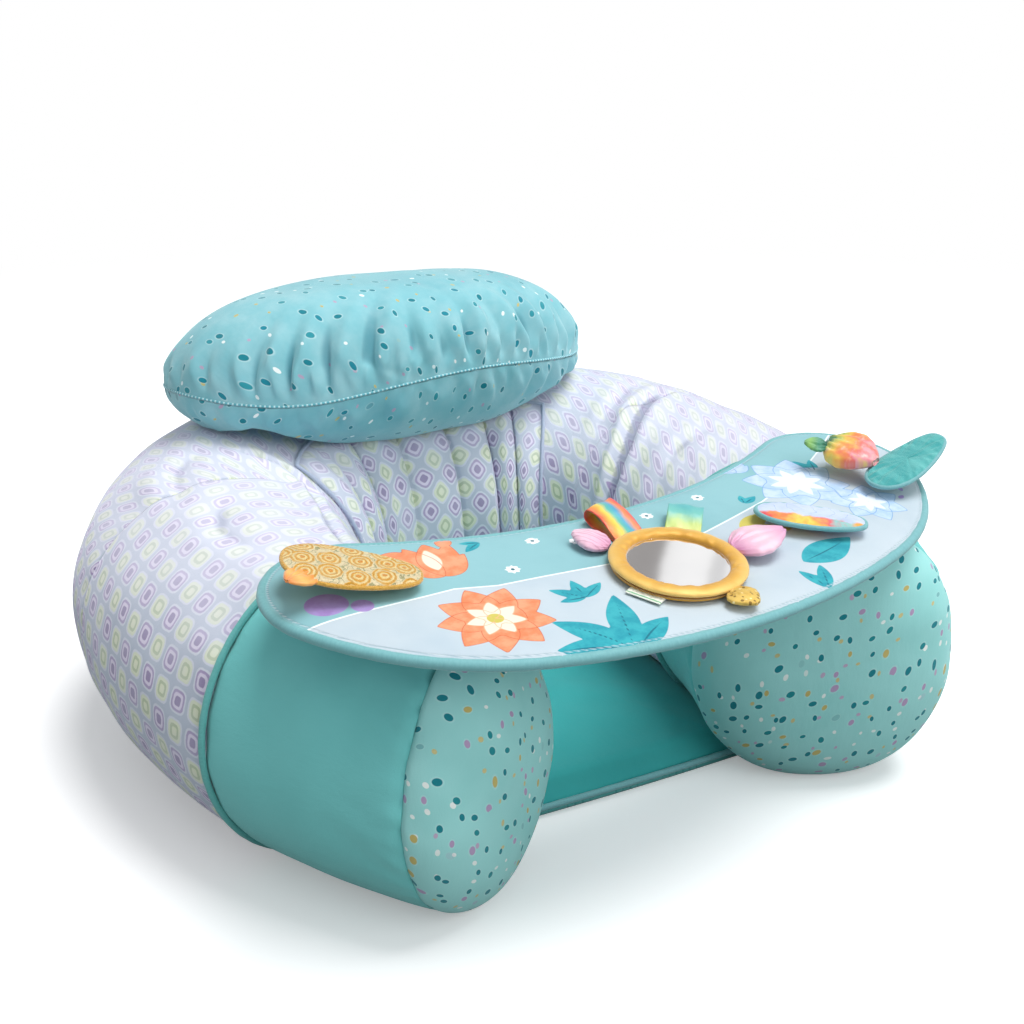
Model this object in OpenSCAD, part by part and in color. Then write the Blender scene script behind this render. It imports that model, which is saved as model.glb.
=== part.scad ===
// Baby floor seat: a C-shaped inflated ring in a fabric cover, with a padded
// base, a play tray across its arms and a pillow on its backrest.
// Millimetres. +Z is up, +Y is the back, and the origin is on the floor under
// the middle of the seat.

/* [Ring path] */
// Distance from the origin back to the ring's centre line
back_y = 208; // [198:1:218]
// Radius of the centre line across the back
back_radius = 334; // [300:2:400]
// Angle that the back stretch turns through, each side of the middle
back_turn = 13.2; // [8:0.2:18]
// Radius of the centre line round each rear corner
corner_radius = 168; // [160:1:180]
// Angle that each rear corner turns through
corner_turn = 66.4; // [60:0.2:72]
// Radius of the centre line along each arm
arm_radius = 416; // [380:2:460]
// Angle that each arm turns through
arm_turn = 40.8; // [34:0.2:44]

/* [Ring section] */
// Half the width of the tube at the back
half_w_back = 118.5; // [108:0.5:120]
// Half the width of the tube at the left and right arm ends
half_w_ends = [83, 97]; // [80:0.5:102]
// How late the tube narrows along the left and right arms
half_w_tapers = [2.6, 1.8]; // [1.4:0.1:3]
// Half the height of the tube at the back
half_h_back = 118; // [110:0.5:124]
// Half the height of the tube at the left and right arm ends
half_h_ends = [99, 101.5]; // [94:0.5:104]
// How square the tube's section is at the back: 1 is an ellipse and less is squarer
section_power = 0.95; // [0.85:0.01:1.05]
// How square the section is at the left and right arm ends
end_powers = [1.08, 0.88]; // [0.85:0.01:1.1]
// How far the tube is pressed flat where it stands on the floor
floor_press = 4; // [2:0.5:8]
// How far the left and right arm ends bulge beyond their seams
end_bulges = [41, 49]; // [30:1:60]
// Thickness of the padded cover cloth
cover_t = 4; // [3:0.5:5]
// Thickness of the air chamber's film
film_t = 0.8; // [0.6:0.1:1.2]
// Room left between the cover and the air chamber
chamber_gap = 4; // [3:0.5:6]

/* [Seams] */
// Path length from the middle of the back to the rear cover's side seams
back_seam_s = 290; // [270:5:310]
// Path length from the middle of the back to the left and right arm panels' piped seams
arm_seams = [444, 450]; // [430:2:470]
// Radius of the piping in the cover's seams
piping_r = 2.4; // [2:0.1:3]

/* [Backrest] */
// Reach of the quilted panel's top edge from its middle, to the left and right
panel_tops = [238, 182]; // [160:2:250]
// How much further each half reaches at the panel's lower edge
panel_flare_s = 88; // [40:2:100]
// Thickness of the quilted panel at the crown of a channel
panel_t = 13; // [8:1:16]
// Number of upholstered channels across the panel
channels = 7; // [5:1:8]

/* [Base] */
// Thickness of the bottom cloth
bottom_t = 4; // [4:0.5:5]
// Height of the seat pad at its sides
pad_side_h = 24; // [18:1:30]
// Height of the seat pad at its crown
pad_crown_h = 34; // [28:1:40]

/* [Tray] */
// Distance from the origin forward to the tray's reference line
tray_y = 167.5; // [158:0.5:176]
// Height of the tray's mid plane at that line
tray_z = 222.5; // [221:0.5:226]
// Slope of the tray, rising to the back
tray_tilt = 6.9; // [6:0.1:9]
// How far the tray lies turned, its right side to the back
tray_turn = 2.1; // [0:0.1:4]
// How far the tray lies to the left
tray_left = 4.3; // [0:0.1:8]
// Depth of the tray at its middle
tray_depth = 160; // [154:1:164]
// Radius of the tray's front edge at its middle
tray_front_r = 480; // [440:5:560]
// Radius of the tray's front corners
tray_corner_r = 190; // [180:1:200]
// Radius of the tray's rounded ends
tray_end_r = 60; // [54:0.5:62]
// Radius of the tray's curved rear edge
tray_rear_r = 424; // [400:4:500]
// Half the distance between the centres of the rounded ends
tray_end_x = 205; // [200:0.5:210]
// Thickness of the tray pad at its seam
tray_edge_t = 5; // [4:0.5:7]
// Rise of the tray pad above its seam
tray_rise = 6; // [4:0.5:8]
// Fall of the tray pad below its seam, where it rests on the arms
tray_fall = 9; // [8:0.5:10]
// Radius of the tray's piping
tray_piping_r = 3.6; // [3:0.1:4]

/* [Mirror] */
// Radius of the mirror over its cloth rim
mirror_r = 45; // [40:1:48]
// Width of the cloth rim
mirror_rim_w = 12; // [9:0.5:14]
// Mirror's centre in the tray's own frame, across and back
mirror_at = [-17, -91]; // [-100:1:20]

/* [Pillow] */
// Half the length of the pillow
pillow_l = 193; // [180:1:200]
// Half the depth of the pillow
pillow_d = 100; // [90:1:106]
// Centre of the pillow's seam, across, back and up
pillow_at = [-9, 153, 259]; // [-12:1:270]
// How far the pillow lies turned, its right end to the back
pillow_turn = 2; // [0:0.5:4]
// Rise of the pillow above its seam
pillow_up = 77; // [60:1:84]
// Fall of the pillow below its seam
pillow_down = 60; // [50:1:66]
// Slope of the pillow's seam, rising to the front
pillow_tilt = 4; // [0:0.5:12]
// Slope of the pillow's seam, falling to the right
pillow_lean = 1.2; // [0:0.2:3]
// Thickness of the pillow's cloth
pillow_cloth_t = 2; // [1.5:0.5:3]

/* [Hidden] */

// Colours
lilac = [0.80, 0.80, 0.90];
teal = [0.37, 0.69, 0.67];
aqua = [0.56, 0.80, 0.78];
turquoise = [0.45, 0.77, 0.80];
pale_blue = [0.84, 0.91, 0.95];
gold = [0.91, 0.70, 0.27];
pink = [0.90, 0.68, 0.82];
clear_white = [0.93, 0.95, 0.97];

// Sides round the tube, for its cloth, its seams and the chamber inside it
tube_sides = 28;
chamber_sides = 14;
cord_sides = 6;
// Length of one facet along the tube
step_s = 28;

// Path lengths at the end of the back stretch, the corner and the whole arm
s1 = back_radius * back_turn * PI / 180;
s2 = s1 + corner_radius * corner_turn * PI / 180;
s3 = s2 + arm_radius * arm_turn * PI / 180;
// Turn of the path at the end of the corner
turn2 = back_turn + corner_turn;

// Centres of the path's three arcs, on the right-hand side
centre1 = [0, back_y - back_radius];
centre2 = centre1 + (back_radius - corner_radius) * [sin(back_turn), cos(back_turn)];
centre3 = centre2 + (corner_radius - arm_radius) * [sin(turn2), cos(turn2)];

// Direction of the outward normal at path length q, in degrees from +Y
function turn_at(q) = q < s1 ? q / back_radius * 180 / PI
    : q < s2 ? back_turn + (q - s1) / corner_radius * 180 / PI
    : turn2 + (q - s2) / arm_radius * 180 / PI;
function centre_at(q) = q < s1 ? centre1 : q < s2 ? centre2 : centre3;
function radius_at(q) = q < s1 ? back_radius : q < s2 ? corner_radius : arm_radius;

// Half width and half height of the tube at path length s, negative on the left
half_h_taper = 1.43;
function side_of(s) = s < 0 ? 0 : 1;
function half_w(s) = let (k = side_of(s))
    half_w_back - (half_w_back - half_w_ends[k]) * pow(min(1, abs(s) / s3), half_w_tapers[k]);
function half_h(s) =
    half_h_back - (half_h_back - half_h_ends[side_of(s)]) * pow(min(1, abs(s) / s3), half_h_taper);
function power(s) =
    section_power + (end_powers[side_of(s)] - section_power) * pow(min(1, abs(s) / s3), 2);

function signed_pow(v, p) = sign(v) * pow(abs(v), p);
function clamp(v, low, high) = min(high, max(low, v));

// Point of the tube at path length s, which is negative on the left arm, and
// angle a round the section: 0 faces the seat, 90 is the top, 180 is outside.
// grow moves it off the cover's outer face, and low is the least height.
// Past the arm's end, s counts degrees round the end's bulge.
function tube_point(s, a, grow = 0, low = 0) =
    let (q = abs(s), over = clamp(q - s3, 0, 90), qq = min(q, s3), t = turn_at(qq),
         shrink = pow(cos(over), 0.75),
         u = (half_w(s) + grow) * shrink * signed_pow(cos(a), power(s)),
         hh = half_h(s), z_mid = hh - floor_press / 2,
         z = z_mid + (hh + floor_press / 2 + grow) * shrink * signed_pow(sin(a), power(s)),
         p = centre_at(qq) + (radius_at(qq) - u) * [sin(t), cos(t)]
             + (end_bulges[side_of(s)] + grow) * sin(over) * [cos(t), -sin(t)])
    [s < 0 ? -p.x : p.x, p.y, max(z, low)];

function tube_ring(s, sides, grow = 0, low = 0) =
    [for (i = [0:sides - 1]) tube_point(s, i * 360 / sides, grow, low)];

// Path lengths from a to b in equal steps of about the given length
function stations(a, b, step = step_s) =
    let (n = max(1, round((b - a) / step))) [for (i = [0:n]) a + (b - a) * i / n];

function flatten(rows) = [for (row = rows) each row];

// Triangles of a grid of rows, closed round each row, that starts at point o
function wrap_faces(rows, cols, o = 0, flip = false) = [
    for (i = [0:rows - 2], j = [0:cols - 1])
        let (a = o + i * cols + j, b = o + i * cols + (j + 1) % cols)
            each (flip ? [[a, a + cols, b], [b, a + cols, b + cols]]
                       : [[a, b, a + cols], [b, b + cols, a + cols]])
];
// Triangles of a flat band between two loops of the same number of points
function band_faces(outer, inner, cols, flip = false) = [
    for (j = [0:cols - 1])
        let (k = (j + 1) % cols)
            each (flip ? [[outer + j, inner + j, outer + k], [outer + k, inner + j, inner + k]]
                       : [[outer + j, outer + k, inner + j], [outer + k, inner + k, inner + j]])
];

// Cloth tube between two skins, given as the same number of rings
module sleeve(outer, inner) {
    rows = len(outer);
    cols = len(outer[0]);
    first_inner = rows * cols;
    polyhedron(
        concat(flatten(outer), flatten(inner)),
        concat(wrap_faces(rows, cols),
               wrap_faces(rows, cols, first_inner, true),
               band_faces(0, first_inner, cols, true),
               band_faces((rows - 1) * cols, first_inner + (rows - 1) * cols, cols)));
}

// Solid through rings of points, closed at each end by a fan to its middle.
// The rings turn clockwise seen from the last one, or the other way with flip.
module loft(rings, flip = false) {
    ordered = flip ? [for (i = [len(rings) - 1:-1:0]) rings[i]] : rings;
    rows = len(ordered);
    cols = len(ordered[0]);
    last = (rows - 1) * cols;
    points = concat(flatten(ordered), [middle(ordered[0]), middle(ordered[rows - 1])]);
    polyhedron(points, concat(
        wrap_faces(rows, cols),
        [for (j = [0:cols - 1]) [j, rows * cols, (j + 1) % cols]],
        [for (j = [0:cols - 1]) [last + j, last + (j + 1) % cols, rows * cols + 1]]));
}

// Solid between two grids of nu by nv points, closed round their edges
module slab(front, rear, nu, nv) {
    n = nu * nv;
    edge = concat([for (i = [0:nu - 2]) i],
                  [for (i = [0:nv - 2]) i * nu + nu - 1],
                  [for (i = [nu - 1:-1:1]) (nv - 1) * nu + i],
                  [for (i = [nv - 1:-1:1]) i * nu]);
    polyhedron(concat(front, rear), concat(
        [for (j = [0:nv - 2], i = [0:nu - 2])
            let (a = j * nu + i) each [[a, a + nu, a + 1], [a + 1, a + nu, a + nu + 1]]],
        [for (j = [0:nv - 2], i = [0:nu - 2])
            let (a = n + j * nu + i) each [[a, a + 1, a + nu], [a + 1, a + nu + 1, a + nu]]],
        [for (i = [0:len(edge) - 1])
            let (a = edge[i], b = edge[(i + 1) % len(edge)]) each [[a, b, n + a], [b, n + b, n + a]]]));
}

// Middle of the box round a ring of points
function middle(ring) = [for (k = [0:2]) (min([for (p = ring) p[k]]) + max([for (p = ring) p[k]])) / 2];

// Round cord along a closed or an open line of points
function unit(v) = v / norm(v);
module cord(line, r, closed = true, sides = cord_sides, up = [0, 0, 1]) {
    n = len(line);
    rings = [for (i = [0:n - 1])
        let (before = line[closed ? (i + n - 1) % n : max(i - 1, 0)],
             after = line[closed ? (i + 1) % n : min(i + 1, n - 1)],
             along = unit(after - before),
             side = unit(cross(along, up)),
             top = cross(side, along))
            [for (k = [0:sides - 1])
                line[i] + r * (cos(360 * k / sides) * side + sin(360 * k / sides) * top)]];
    if (closed)
        polyhedron(flatten(rings), concat(
            wrap_faces(n, sides),
            [for (j = [0:sides - 1])
                let (a = (n - 1) * sides + j, b = (n - 1) * sides + (j + 1) % sides)
                    each [[a, b, j], [b, (j + 1) % sides, j]]]));
    else
        loft(rings);
}

// ---- Ring cover ----
module cover_piece(from_s, to_s) {
    s = stations(from_s, to_s);
    sleeve([for (v = s) tube_ring(v, tube_sides)],
           [for (v = s) tube_ring(v, tube_sides, -cover_t, cover_t)]);
}
module cover_back() {
    color(lilac) cover_piece(-back_seam_s, back_seam_s);
}
module cover_side_left() {
    color(lilac) cover_piece(-arm_seams[0], -back_seam_s);
}
module cover_side_right() {
    color(lilac) cover_piece(back_seam_s, arm_seams[1]);
}
module cover_arm_left() {
    color(teal) cover_piece(-s3, -arm_seams[0]);
}
module cover_arm_right() {
    color(teal) cover_piece(arm_seams[1], s3);
}

// Domed end of an arm, a cloth cup that closes the tube
dome_angles = [0, 22, 44, 66];
module arm_end(side) {
    rows = len(dome_angles);
    cols = tube_sides;
    outer = flatten([for (a = dome_angles) tube_ring(side * (s3 + a), cols)]);
    inner = flatten([for (a = dome_angles) tube_ring(side * (s3 + a), cols, -cover_t, cover_t)]);
    poles = [tube_point(side * (s3 + 90), 0), tube_point(side * (s3 + 90), 0, -cover_t)];
    first_inner = rows * cols;
    pole = 2 * rows * cols;
    last = (rows - 1) * cols;
    flip = side < 0;
    polyhedron(concat(outer, inner, poles), concat(
        wrap_faces(rows, cols, 0, flip),
        wrap_faces(rows, cols, first_inner, !flip),
        band_faces(0, first_inner, cols, !flip),
        [for (j = [0:cols - 1])
            let (a = last + j, b = last + (j + 1) % cols)
                flip ? [b, a, pole] : [a, b, pole]],
        [for (j = [0:cols - 1])
            let (a = first_inner + last + j, b = first_inner + last + (j + 1) % cols)
                flip ? [a, b, pole + 1] : [b, a, pole + 1]]));
}
module arm_end_left() {
    color(aqua) arm_end(-1);
}
module arm_end_right() {
    color(aqua) arm_end(1);
}

// Piping round the tube where the lilac cloth meets the arm panel
module seam_piping(side) {
    seam_s = side * arm_seams[side_of(side)];
    along_arm = [side, 0.3, 0];
    cord([for (i = [0:tube_sides - 1]) tube_point(seam_s, side * i * 360 / tube_sides, 0.6, piping_r)],
         piping_r, true, cord_sides, along_arm);
}
module seam_piping_left() {
    color(teal) seam_piping(-1);
}
module seam_piping_right() {
    color(teal) seam_piping(1);
}

// ---- Backrest ----
panel_top_a = 58;
panel_low_a = -38;
panel_rows = 9;
panel_cols = 42;
panel_clear = 0.9;
// Path length at u across the panel, from -1 to 1, and angle a round the tube
function panel_s(u, a) = let (flare = panel_flare_s * (panel_top_a - a) / (panel_top_a - panel_low_a))
    u * (panel_tops[side_of(u)] + flare);
// Padding at u across the panel and v up it, both from -1 to 1
function panel_pad(u, v) = let (edge = (1 - pow(abs(u), 8)) * (1 - pow(abs(v), 6)),
                                channel = pow(abs(sin((u + 1) * 90 * channels)), 0.5))
    2 + (panel_t - 2) * edge * (0.35 + 0.65 * channel);
function panel_point(u, v, grow) =
    let (a = (panel_top_a + panel_low_a) / 2 + v * (panel_top_a - panel_low_a) / 2)
    tube_point(panel_s(u, a), a, grow);
module backrest_panel() {
    us = [for (i = [0:panel_cols]) -1 + 2 * i / panel_cols];
    vs = [for (i = [0:panel_rows]) -1 + 2 * i / panel_rows];
    color(lilac)
    slab([for (v = vs, u = us) panel_point(u, v, panel_clear + panel_pad(u, v))],
         [for (v = vs, u = us) panel_point(u, v, panel_clear)], len(us), len(vs));
}
module backrest_piping() {
    us = [for (i = [0:22]) -1 + 2 * i / 22];
    vs = [for (i = [1:5]) -1 + 2 * i / 6];
    lift = panel_clear + piping_r;
    line = concat([for (u = us) panel_point(u, -1, lift)],
                  [for (v = vs) panel_point(1, v, lift)],
                  [for (u = us) panel_point(-u, 1, lift)],
                  [for (v = vs) panel_point(-1, -v, lift)]);
    color(pale_blue) cord(line, piping_r, true, 5, [0.1, -1, 0.35]);
}

// ---- Air chamber ----
chamber_grow = -(cover_t + chamber_gap);
chamber_low = cover_t + 2;
// Angles round the chamber's ends at which its rings lie
chamber_caps = [25, 50, 74];
chamber_step_s = 56;

// Valve welded in the chamber's outer wall at the middle of the back
valve_y = back_y + half_w_back + chamber_grow;
valve_z = half_h_back - floor_press / 2;
valve_r = 7;
valve_bore_r = 5;
valve_l = 12;
valve_flange_r = 13;
valve_flange_t = 1.6;
valve_cap_r = 8;
valve_cap_t = 1.3;
module on_valve_axis(depth) {
    translate([0, valve_y - depth, valve_z]) rotate([-90, 0, 0]) children();
}
module air_chamber() {
    s = concat([for (i = [2:-1:0]) -(s3 + chamber_caps[i])], stations(-s3, s3, chamber_step_s),
               [for (a = chamber_caps) s3 + a]);
    color([0.86, 0.90, 0.93, 0.6])
    difference() {
        loft([for (v = s) tube_ring(v, chamber_sides, chamber_grow, chamber_low)]);
        loft([for (v = s) tube_ring(v, chamber_sides, chamber_grow - film_t, chamber_low + film_t)]);
        on_valve_axis(valve_l) cylinder(r = valve_r, h = 2 * valve_l, $fn = 32);
    }
}
module valve_body() {
    flange_z = valve_l - valve_flange_t + 0.1;
    color(clear_white) on_valve_axis(valve_l)
    difference() {
        union() {
            cylinder(r = valve_r, h = valve_l, $fn = 32);
            translate([0, 0, flange_z]) cylinder(r = valve_flange_r, h = valve_flange_t, $fn = 40);
        }
        translate([0, 0, -1]) cylinder(r = valve_bore_r, h = valve_l + 3, $fn = 32);
    }
}
// Push-in cap: a plug in the bore under a flat head
module valve_cap() {
    plug_l = 7.1;
    color(clear_white) on_valve_axis(plug_l - 0.1) {
        cylinder(r = valve_bore_r - 0.1, h = plug_l, $fn = 32);
        translate([0, 0, plug_l]) cylinder(r = valve_cap_r, h = valve_cap_t, $fn = 32);
    }
}

// ---- Base ----
// Gap to the ring's wall, bow of the front edge, and where that edge meets the arms
base_gap = 1.2;
base_bow = 3;
base_ends = [s3 - 52, s3 - 20];
// Edge of the base at height z: it follows the tube's wall and closes in front
function wall_u(s, z) = let (hh = half_h(s), v = (hh - floor_press / 2 - z) / (hh + floor_press / 2))
    half_w(s) * pow(max(0, 1 - pow(abs(v), 2 / power(s))), power(s) / 2);
function wall_point(s, z) =
    let (q = abs(s), t = turn_at(q), r = radius_at(q) - wall_u(s, z) - base_gap,
         p = centre_at(q) + r * [sin(t), cos(t)])
    [s < 0 ? -p.x : p.x, p.y, z];
base_step_s = 34;
base_s = stations(-base_ends[0], base_ends[1], base_step_s);
// Front edge between the two arms, from the right at f = 1 to the left at -1
function front_point(f, z) =
    let (right = wall_point(base_ends[1], z), left = wall_point(-base_ends[0], z), mid = (right + left) / 2)
    [mid.x + f * (right.x - mid.x), mid.y + f * (right.y - mid.y) - base_bow * (1 - f * f), z];
function base_ring(z, inset = 1) = [
    for (p = concat([for (i = [len(base_s) - 1:-1:0]) wall_point(base_s[i], z)],
                    [for (i = [8:-1:1]) front_point(1 - 2 * i / 9, z)]))
        [p.x * inset, p.y * inset, z]];

// Zip in the underside, in a slot of the bottom cloth
zip_l = 190;
zip_y = 60;
zip_z = 2;
zip_margin = 8;
zip_slot_w = 10;
zip_half_gap = 0.8;
coil_r = 0.9;
module base_cloth() {
    slot_l = zip_l + 2 * zip_margin;
    color(teal)
    difference() {
        linear_extrude(bottom_t) polygon([for (p = base_ring(bottom_t)) [p.x, p.y]]);
        translate([-slot_l / 2, zip_y - zip_slot_w / 2, -1]) cube([slot_l, zip_slot_w, bottom_t + 2]);
    }
}
module seat_pad() {
    top_insets = [0.9, 0.62, 0.3];
    rise = pad_crown_h - pad_side_h;
    color(teal)
    loft(concat([base_ring(bottom_t), base_ring(bottom_t + 9), base_ring(pad_side_h - 4)],
                [for (k = top_insets) base_ring(pad_side_h + rise * pow(1 - k * k, 0.8), k)]), true);
}
module base_piping() {
    z = bottom_t + piping_r;
    line = [for (i = [0:12]) front_point(-1 + i / 6, z) - [0, piping_r, 0]];
    color(aqua) cord(line, piping_r, false, 8);
}

// Two tapes beside the slot, one on each side
module zip_tape() {
    tape_l = zip_l + 2 * zip_margin - 2;
    tape_w = 2.4;
    tape_t = 0.6;
    color(teal)
    for (side = [-1, 1])
        translate([-tape_l / 2, zip_y + side * (zip_slot_w - tape_w) / 2 - tape_w / 2, zip_z - tape_t / 2])
            cube([tape_l, tape_w, tape_t]);
}
// Two rows of coil teeth, drawn as the rods that they fill
module zip_coil() {
    color([0.85, 0.92, 0.92])
    for (side = [-1, 1])
        translate([-zip_l / 2, zip_y + side * (zip_half_gap + coil_r), zip_z]) rotate([0, 90, 0])
            scale([0.8, 1, 1]) cylinder(r = coil_r, h = zip_l, $fn = 16);
}
// Slider: two plates over and under the teeth, joined by a thin post between them
module zip_slider() {
    slider_l = 11;
    slider_w = 7.4;
    plate_t = 0.5;
    inside = 2.4;
    post = [4, 0.9, inside + plate_t];
    color([0.75, 0.77, 0.80])
    translate([zip_l / 2 - 9, zip_y, zip_z]) {
        for (z = [-inside / 2 - plate_t, inside / 2])
            translate([-slider_l / 2, -slider_w / 2, z]) cube([slider_l, slider_w, plate_t]);
        translate([-post.x / 2, -post.y / 2, -post.z / 2]) cube(post);
    }
}

// ---- Tray fastenings on the arms ----
module in_tray_frame() {
    translate([-tray_left, -tray_y, tray_z]) rotate([tray_tilt, 0, 0])
        translate([0, -tray_depth / 2, 0]) rotate([0, 0, tray_turn])
            translate([0, tray_depth / 2, 0]) children();
}
// The same placing for one point
function tray_point(p) =
    let (mid = tray_depth / 2, x = p.x * cos(tray_turn) - (p.y + mid) * sin(tray_turn),
         y = p.x * sin(tray_turn) + (p.y + mid) * cos(tray_turn) - mid)
    [x - tray_left, y * cos(tray_tilt) - p.z * sin(tray_tilt) - tray_y,
     y * sin(tray_tilt) + p.z * cos(tray_tilt) + tray_z];
// Patch of loop cloth that lies on the tube
module tube_patch(side, s_from, s_to, a_from, a_to, t) {
    ss = [for (i = [0:3]) s_from + (s_to - s_from) * i / 3];
    as = [for (i = [0:4]) a_from + (a_to - a_from) * (side > 0 ? i : 4 - i) / 4];
    slab([for (a = as, q = ss) tube_point(side * q, a, t + 0.5)],
         [for (a = as, q = ss) tube_point(side * q, a, 0.5)], len(ss), len(as));
}
loop_s = [470, 512];
loop_a = [76, 104];
loop_t = 1.6;
module arm_loop_patch_left() {
    color(aqua) tube_patch(-1, loop_s[0], loop_s[1], loop_a[0], loop_a[1], loop_t);
}
module arm_loop_patch_right() {
    color(aqua) tube_patch(1, loop_s[0], loop_s[1], loop_a[0], loop_a[1], loop_t);
}
// Cloth hinge strap: sewn to the end of the arm, its rolled hem is the tray's hinge
hinge_v = -112;
hinge_drop = 12.6;
hem_r = 2.2;
hem_over = 8;
strap_x = 126;
strap_w = 30;
strap_t = 1.6;
strap_feet = [-198, -176];
module tray_strap(side) {
    xs = [side * strap_x - strap_w / 2, side * strap_x + strap_w / 2];
    under = concat([for (x = xs) tray_point([x, hinge_v + 1.4, -hinge_drop - strap_t / 2])],
                   [for (y = strap_feet, x = xs) [x - tray_left, y, tube_top(x - tray_left, y) + 0.3]]);
    slab([for (p = under) p + [0, 0, strap_t]], under, 2, 3);
    in_tray_frame() translate([side * strap_x - strap_w / 2 - hem_over, hinge_v, -hinge_drop])
        rotate([0, 90, 0]) cylinder(r = hem_r, h = strap_w + 2 * hem_over, $fn = 24);
}
module tray_strap_left() {
    color(teal) tray_strap(-1);
}
module tray_strap_right() {
    color(teal) tray_strap(1);
}

// ---- Tray ----
// The outline is four arcs a side: front, front corner, rounded end and rear
tray_front_c = [0, -tray_depth + tray_front_r];
tray_rear_c = [0, tray_rear_r];
tray_end_c = [tray_end_x, tray_rear_r - sqrt(pow(tray_rear_r + tray_end_r, 2) - pow(tray_end_x, 2))];
// Angle from -Y at which the front arc hands over to the corner arc
hand_over = let (d = tray_end_c - tray_front_c, gap = tray_front_r - tray_corner_r,
                 reach = tray_corner_r - tray_end_r,
                 c = (d * d + gap * gap - reach * reach) / (2 * gap * norm(d)))
    atan2(d.x, -d.y) - acos(c);
tray_corner_c = tray_front_c + (tray_front_r - tray_corner_r) * [sin(hand_over), -cos(hand_over)];
corner_end = let (d = tray_end_c - tray_corner_c) atan2(d.x, -d.y);
end_end = let (d = tray_rear_c - tray_end_c) 360 + atan2(d.x, -d.y);
function arc(c, r, from_a, to_a, n, skip_last = true) =
    [for (i = [0:n - (skip_last ? 1 : 0)])
        let (a = from_a + (to_a - from_a) * i / n) c + r * [sin(a), -cos(a)]];
function tray_half(inset = 0) = concat(
    arc(tray_front_c, tray_front_r - inset, 0, hand_over, 3),
    arc(tray_corner_c, tray_corner_r - inset, hand_over, corner_end, 7),
    arc(tray_end_c, tray_end_r - inset, corner_end, end_end, 8),
    arc(tray_rear_c, tray_rear_r + inset, end_end - 180, 0, 6, false));
function mirrored(half) = concat(half, [for (i = [len(half) - 2:-1:1]) [-half[i].x, half[i].y]]);
function tray_outline(inset = 0) = mirrored(tray_half(inset));
function lifted(outline, z) = [for (p = outline) [p.x, p.y, z]];
module tray_pad() {
    insets = [0, 5, 14, 30];
    swell = [0, 0.5, 0.85, 1];
    height = function (i, full) tray_edge_t / 2 + (full - tray_edge_t / 2) * swell[i];
    ring = function (i, z) lifted(tray_outline(tray_piping_r + insets[i]), z);
    color(pale_blue) in_tray_frame()
    loft(concat([for (i = [3:-1:0]) ring(i, -height(i, tray_fall))],
                [for (i = [0:3]) ring(i, height(i, tray_rise))]), true);
}
module tray_piping() {
    color(turquoise) in_tray_frame() cord(lifted(tray_outline(tray_piping_r), 0), tray_piping_r, true, 7);
}
// Patches of hook cloth under the tray's ends
module tray_hook_patches() {
    patch = [40, 34, 2];
    patch_x = 186;
    color(pale_blue) in_tray_frame()
    for (side = [-1, 1])
        translate([side * patch_x - patch.x / 2, -14, 0.2 - tray_fall - patch.z]) cube(patch);
}
// Sleeves under the tray that turn on the ends of the straps' hems
sleeve_w = 6.4;
sleeve_r = 3.8;
hem_clear = 0.4;
module hem_sleeve() {
    web = [sleeve_w, 2 * sleeve_r - 1.6, hinge_drop - tray_fall + 0.8];
    difference() {
        union() {
            rotate([0, 90, 0]) cylinder(r = sleeve_r, h = sleeve_w, $fn = 24);
            translate([0, -web.y / 2, 0]) cube(web);
        }
        translate([-1, 0, 0]) rotate([0, 90, 0]) cylinder(r = hem_r + hem_clear, h = sleeve_w + 2, $fn = 24);
    }
}
module tray_tabs() {
    offset_x = (strap_w + hem_over) / 2;
    color(turquoise) in_tray_frame()
    for (side = [-1, 1], end = [-1, 1])
        translate([side * strap_x + end * offset_x - sleeve_w / 2, hinge_v, -hinge_drop]) hem_sleeve();
}

// ---- Mirror ----
backing_t = 4;
rest_z = tray_rise + 0.4;
module in_mirror_frame() {
    in_tray_frame() translate([mirror_at.x, mirror_at.y, rest_z]) children();
}
module mirror_backing() {
    color(gold) in_mirror_frame() cylinder(r = mirror_r - 2, h = backing_t, $fn = 48);
}
module mirror_rim() {
    rim_h = 5;
    inner_r = mirror_r - mirror_rim_w;
    color(gold) in_mirror_frame() translate([0, 0, backing_t])
    rotate_extrude($fn = 48)
        polygon([[inner_r, 0], [mirror_r - 1, 0], [mirror_r, 1.6], [mirror_r - 1.5, rim_h - 1.2],
                 [mirror_r - 5, rim_h], [inner_r + 4, rim_h], [inner_r, rim_h - 2.4]]);
}
module mirror_film() {
    color([0.80, 0.80, 0.82]) in_mirror_frame() translate([0, 0, backing_t])
        cylinder(r = mirror_r - mirror_rim_w - 0.2, h = 1.2, $fn = 48);
}
// Folded loop of ribbon, its two ends one on the other at the origin
module ribbon_loop(w, reach, rise) {
    cloth = 1.1;
    top = [[0, 2.4], [reach * 0.45, rise * 0.8], [reach - 3, rise], [reach, rise * 0.35],
           [reach * 0.5, -0.2], [0, 0]];
    fold = [[0, cloth], [reach * 0.5, cloth], [reach - 1.4, rise * 0.35], [reach - 4, rise - 1.6],
            [reach * 0.45, rise * 0.8 - 1.6], [0, 1.3]];
    rotate([90, 0, 90]) translate([0, 0, -w / 2]) linear_extrude(w) polygon(concat(top, fold));
}
module at_mirror_edge(angle, z = 0, out = -2) {
    in_mirror_frame() rotate([0, 0, angle - 90]) translate([0, mirror_r + out, z]) children();
}
// Two loops sewn to the tray behind the mirror, which they hold at its rear edge
module rainbow_ribbon() {
    color([0.93, 0.55, 0.35]) at_mirror_edge(92, -0.4, 1.6) ribbon_loop(24, 38, 12);
}
module satin_loop() {
    color([0.45, 0.75, 0.68]) at_mirror_edge(46, -0.4, 1.6) ribbon_loop(24, 32, 11);
}
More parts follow.
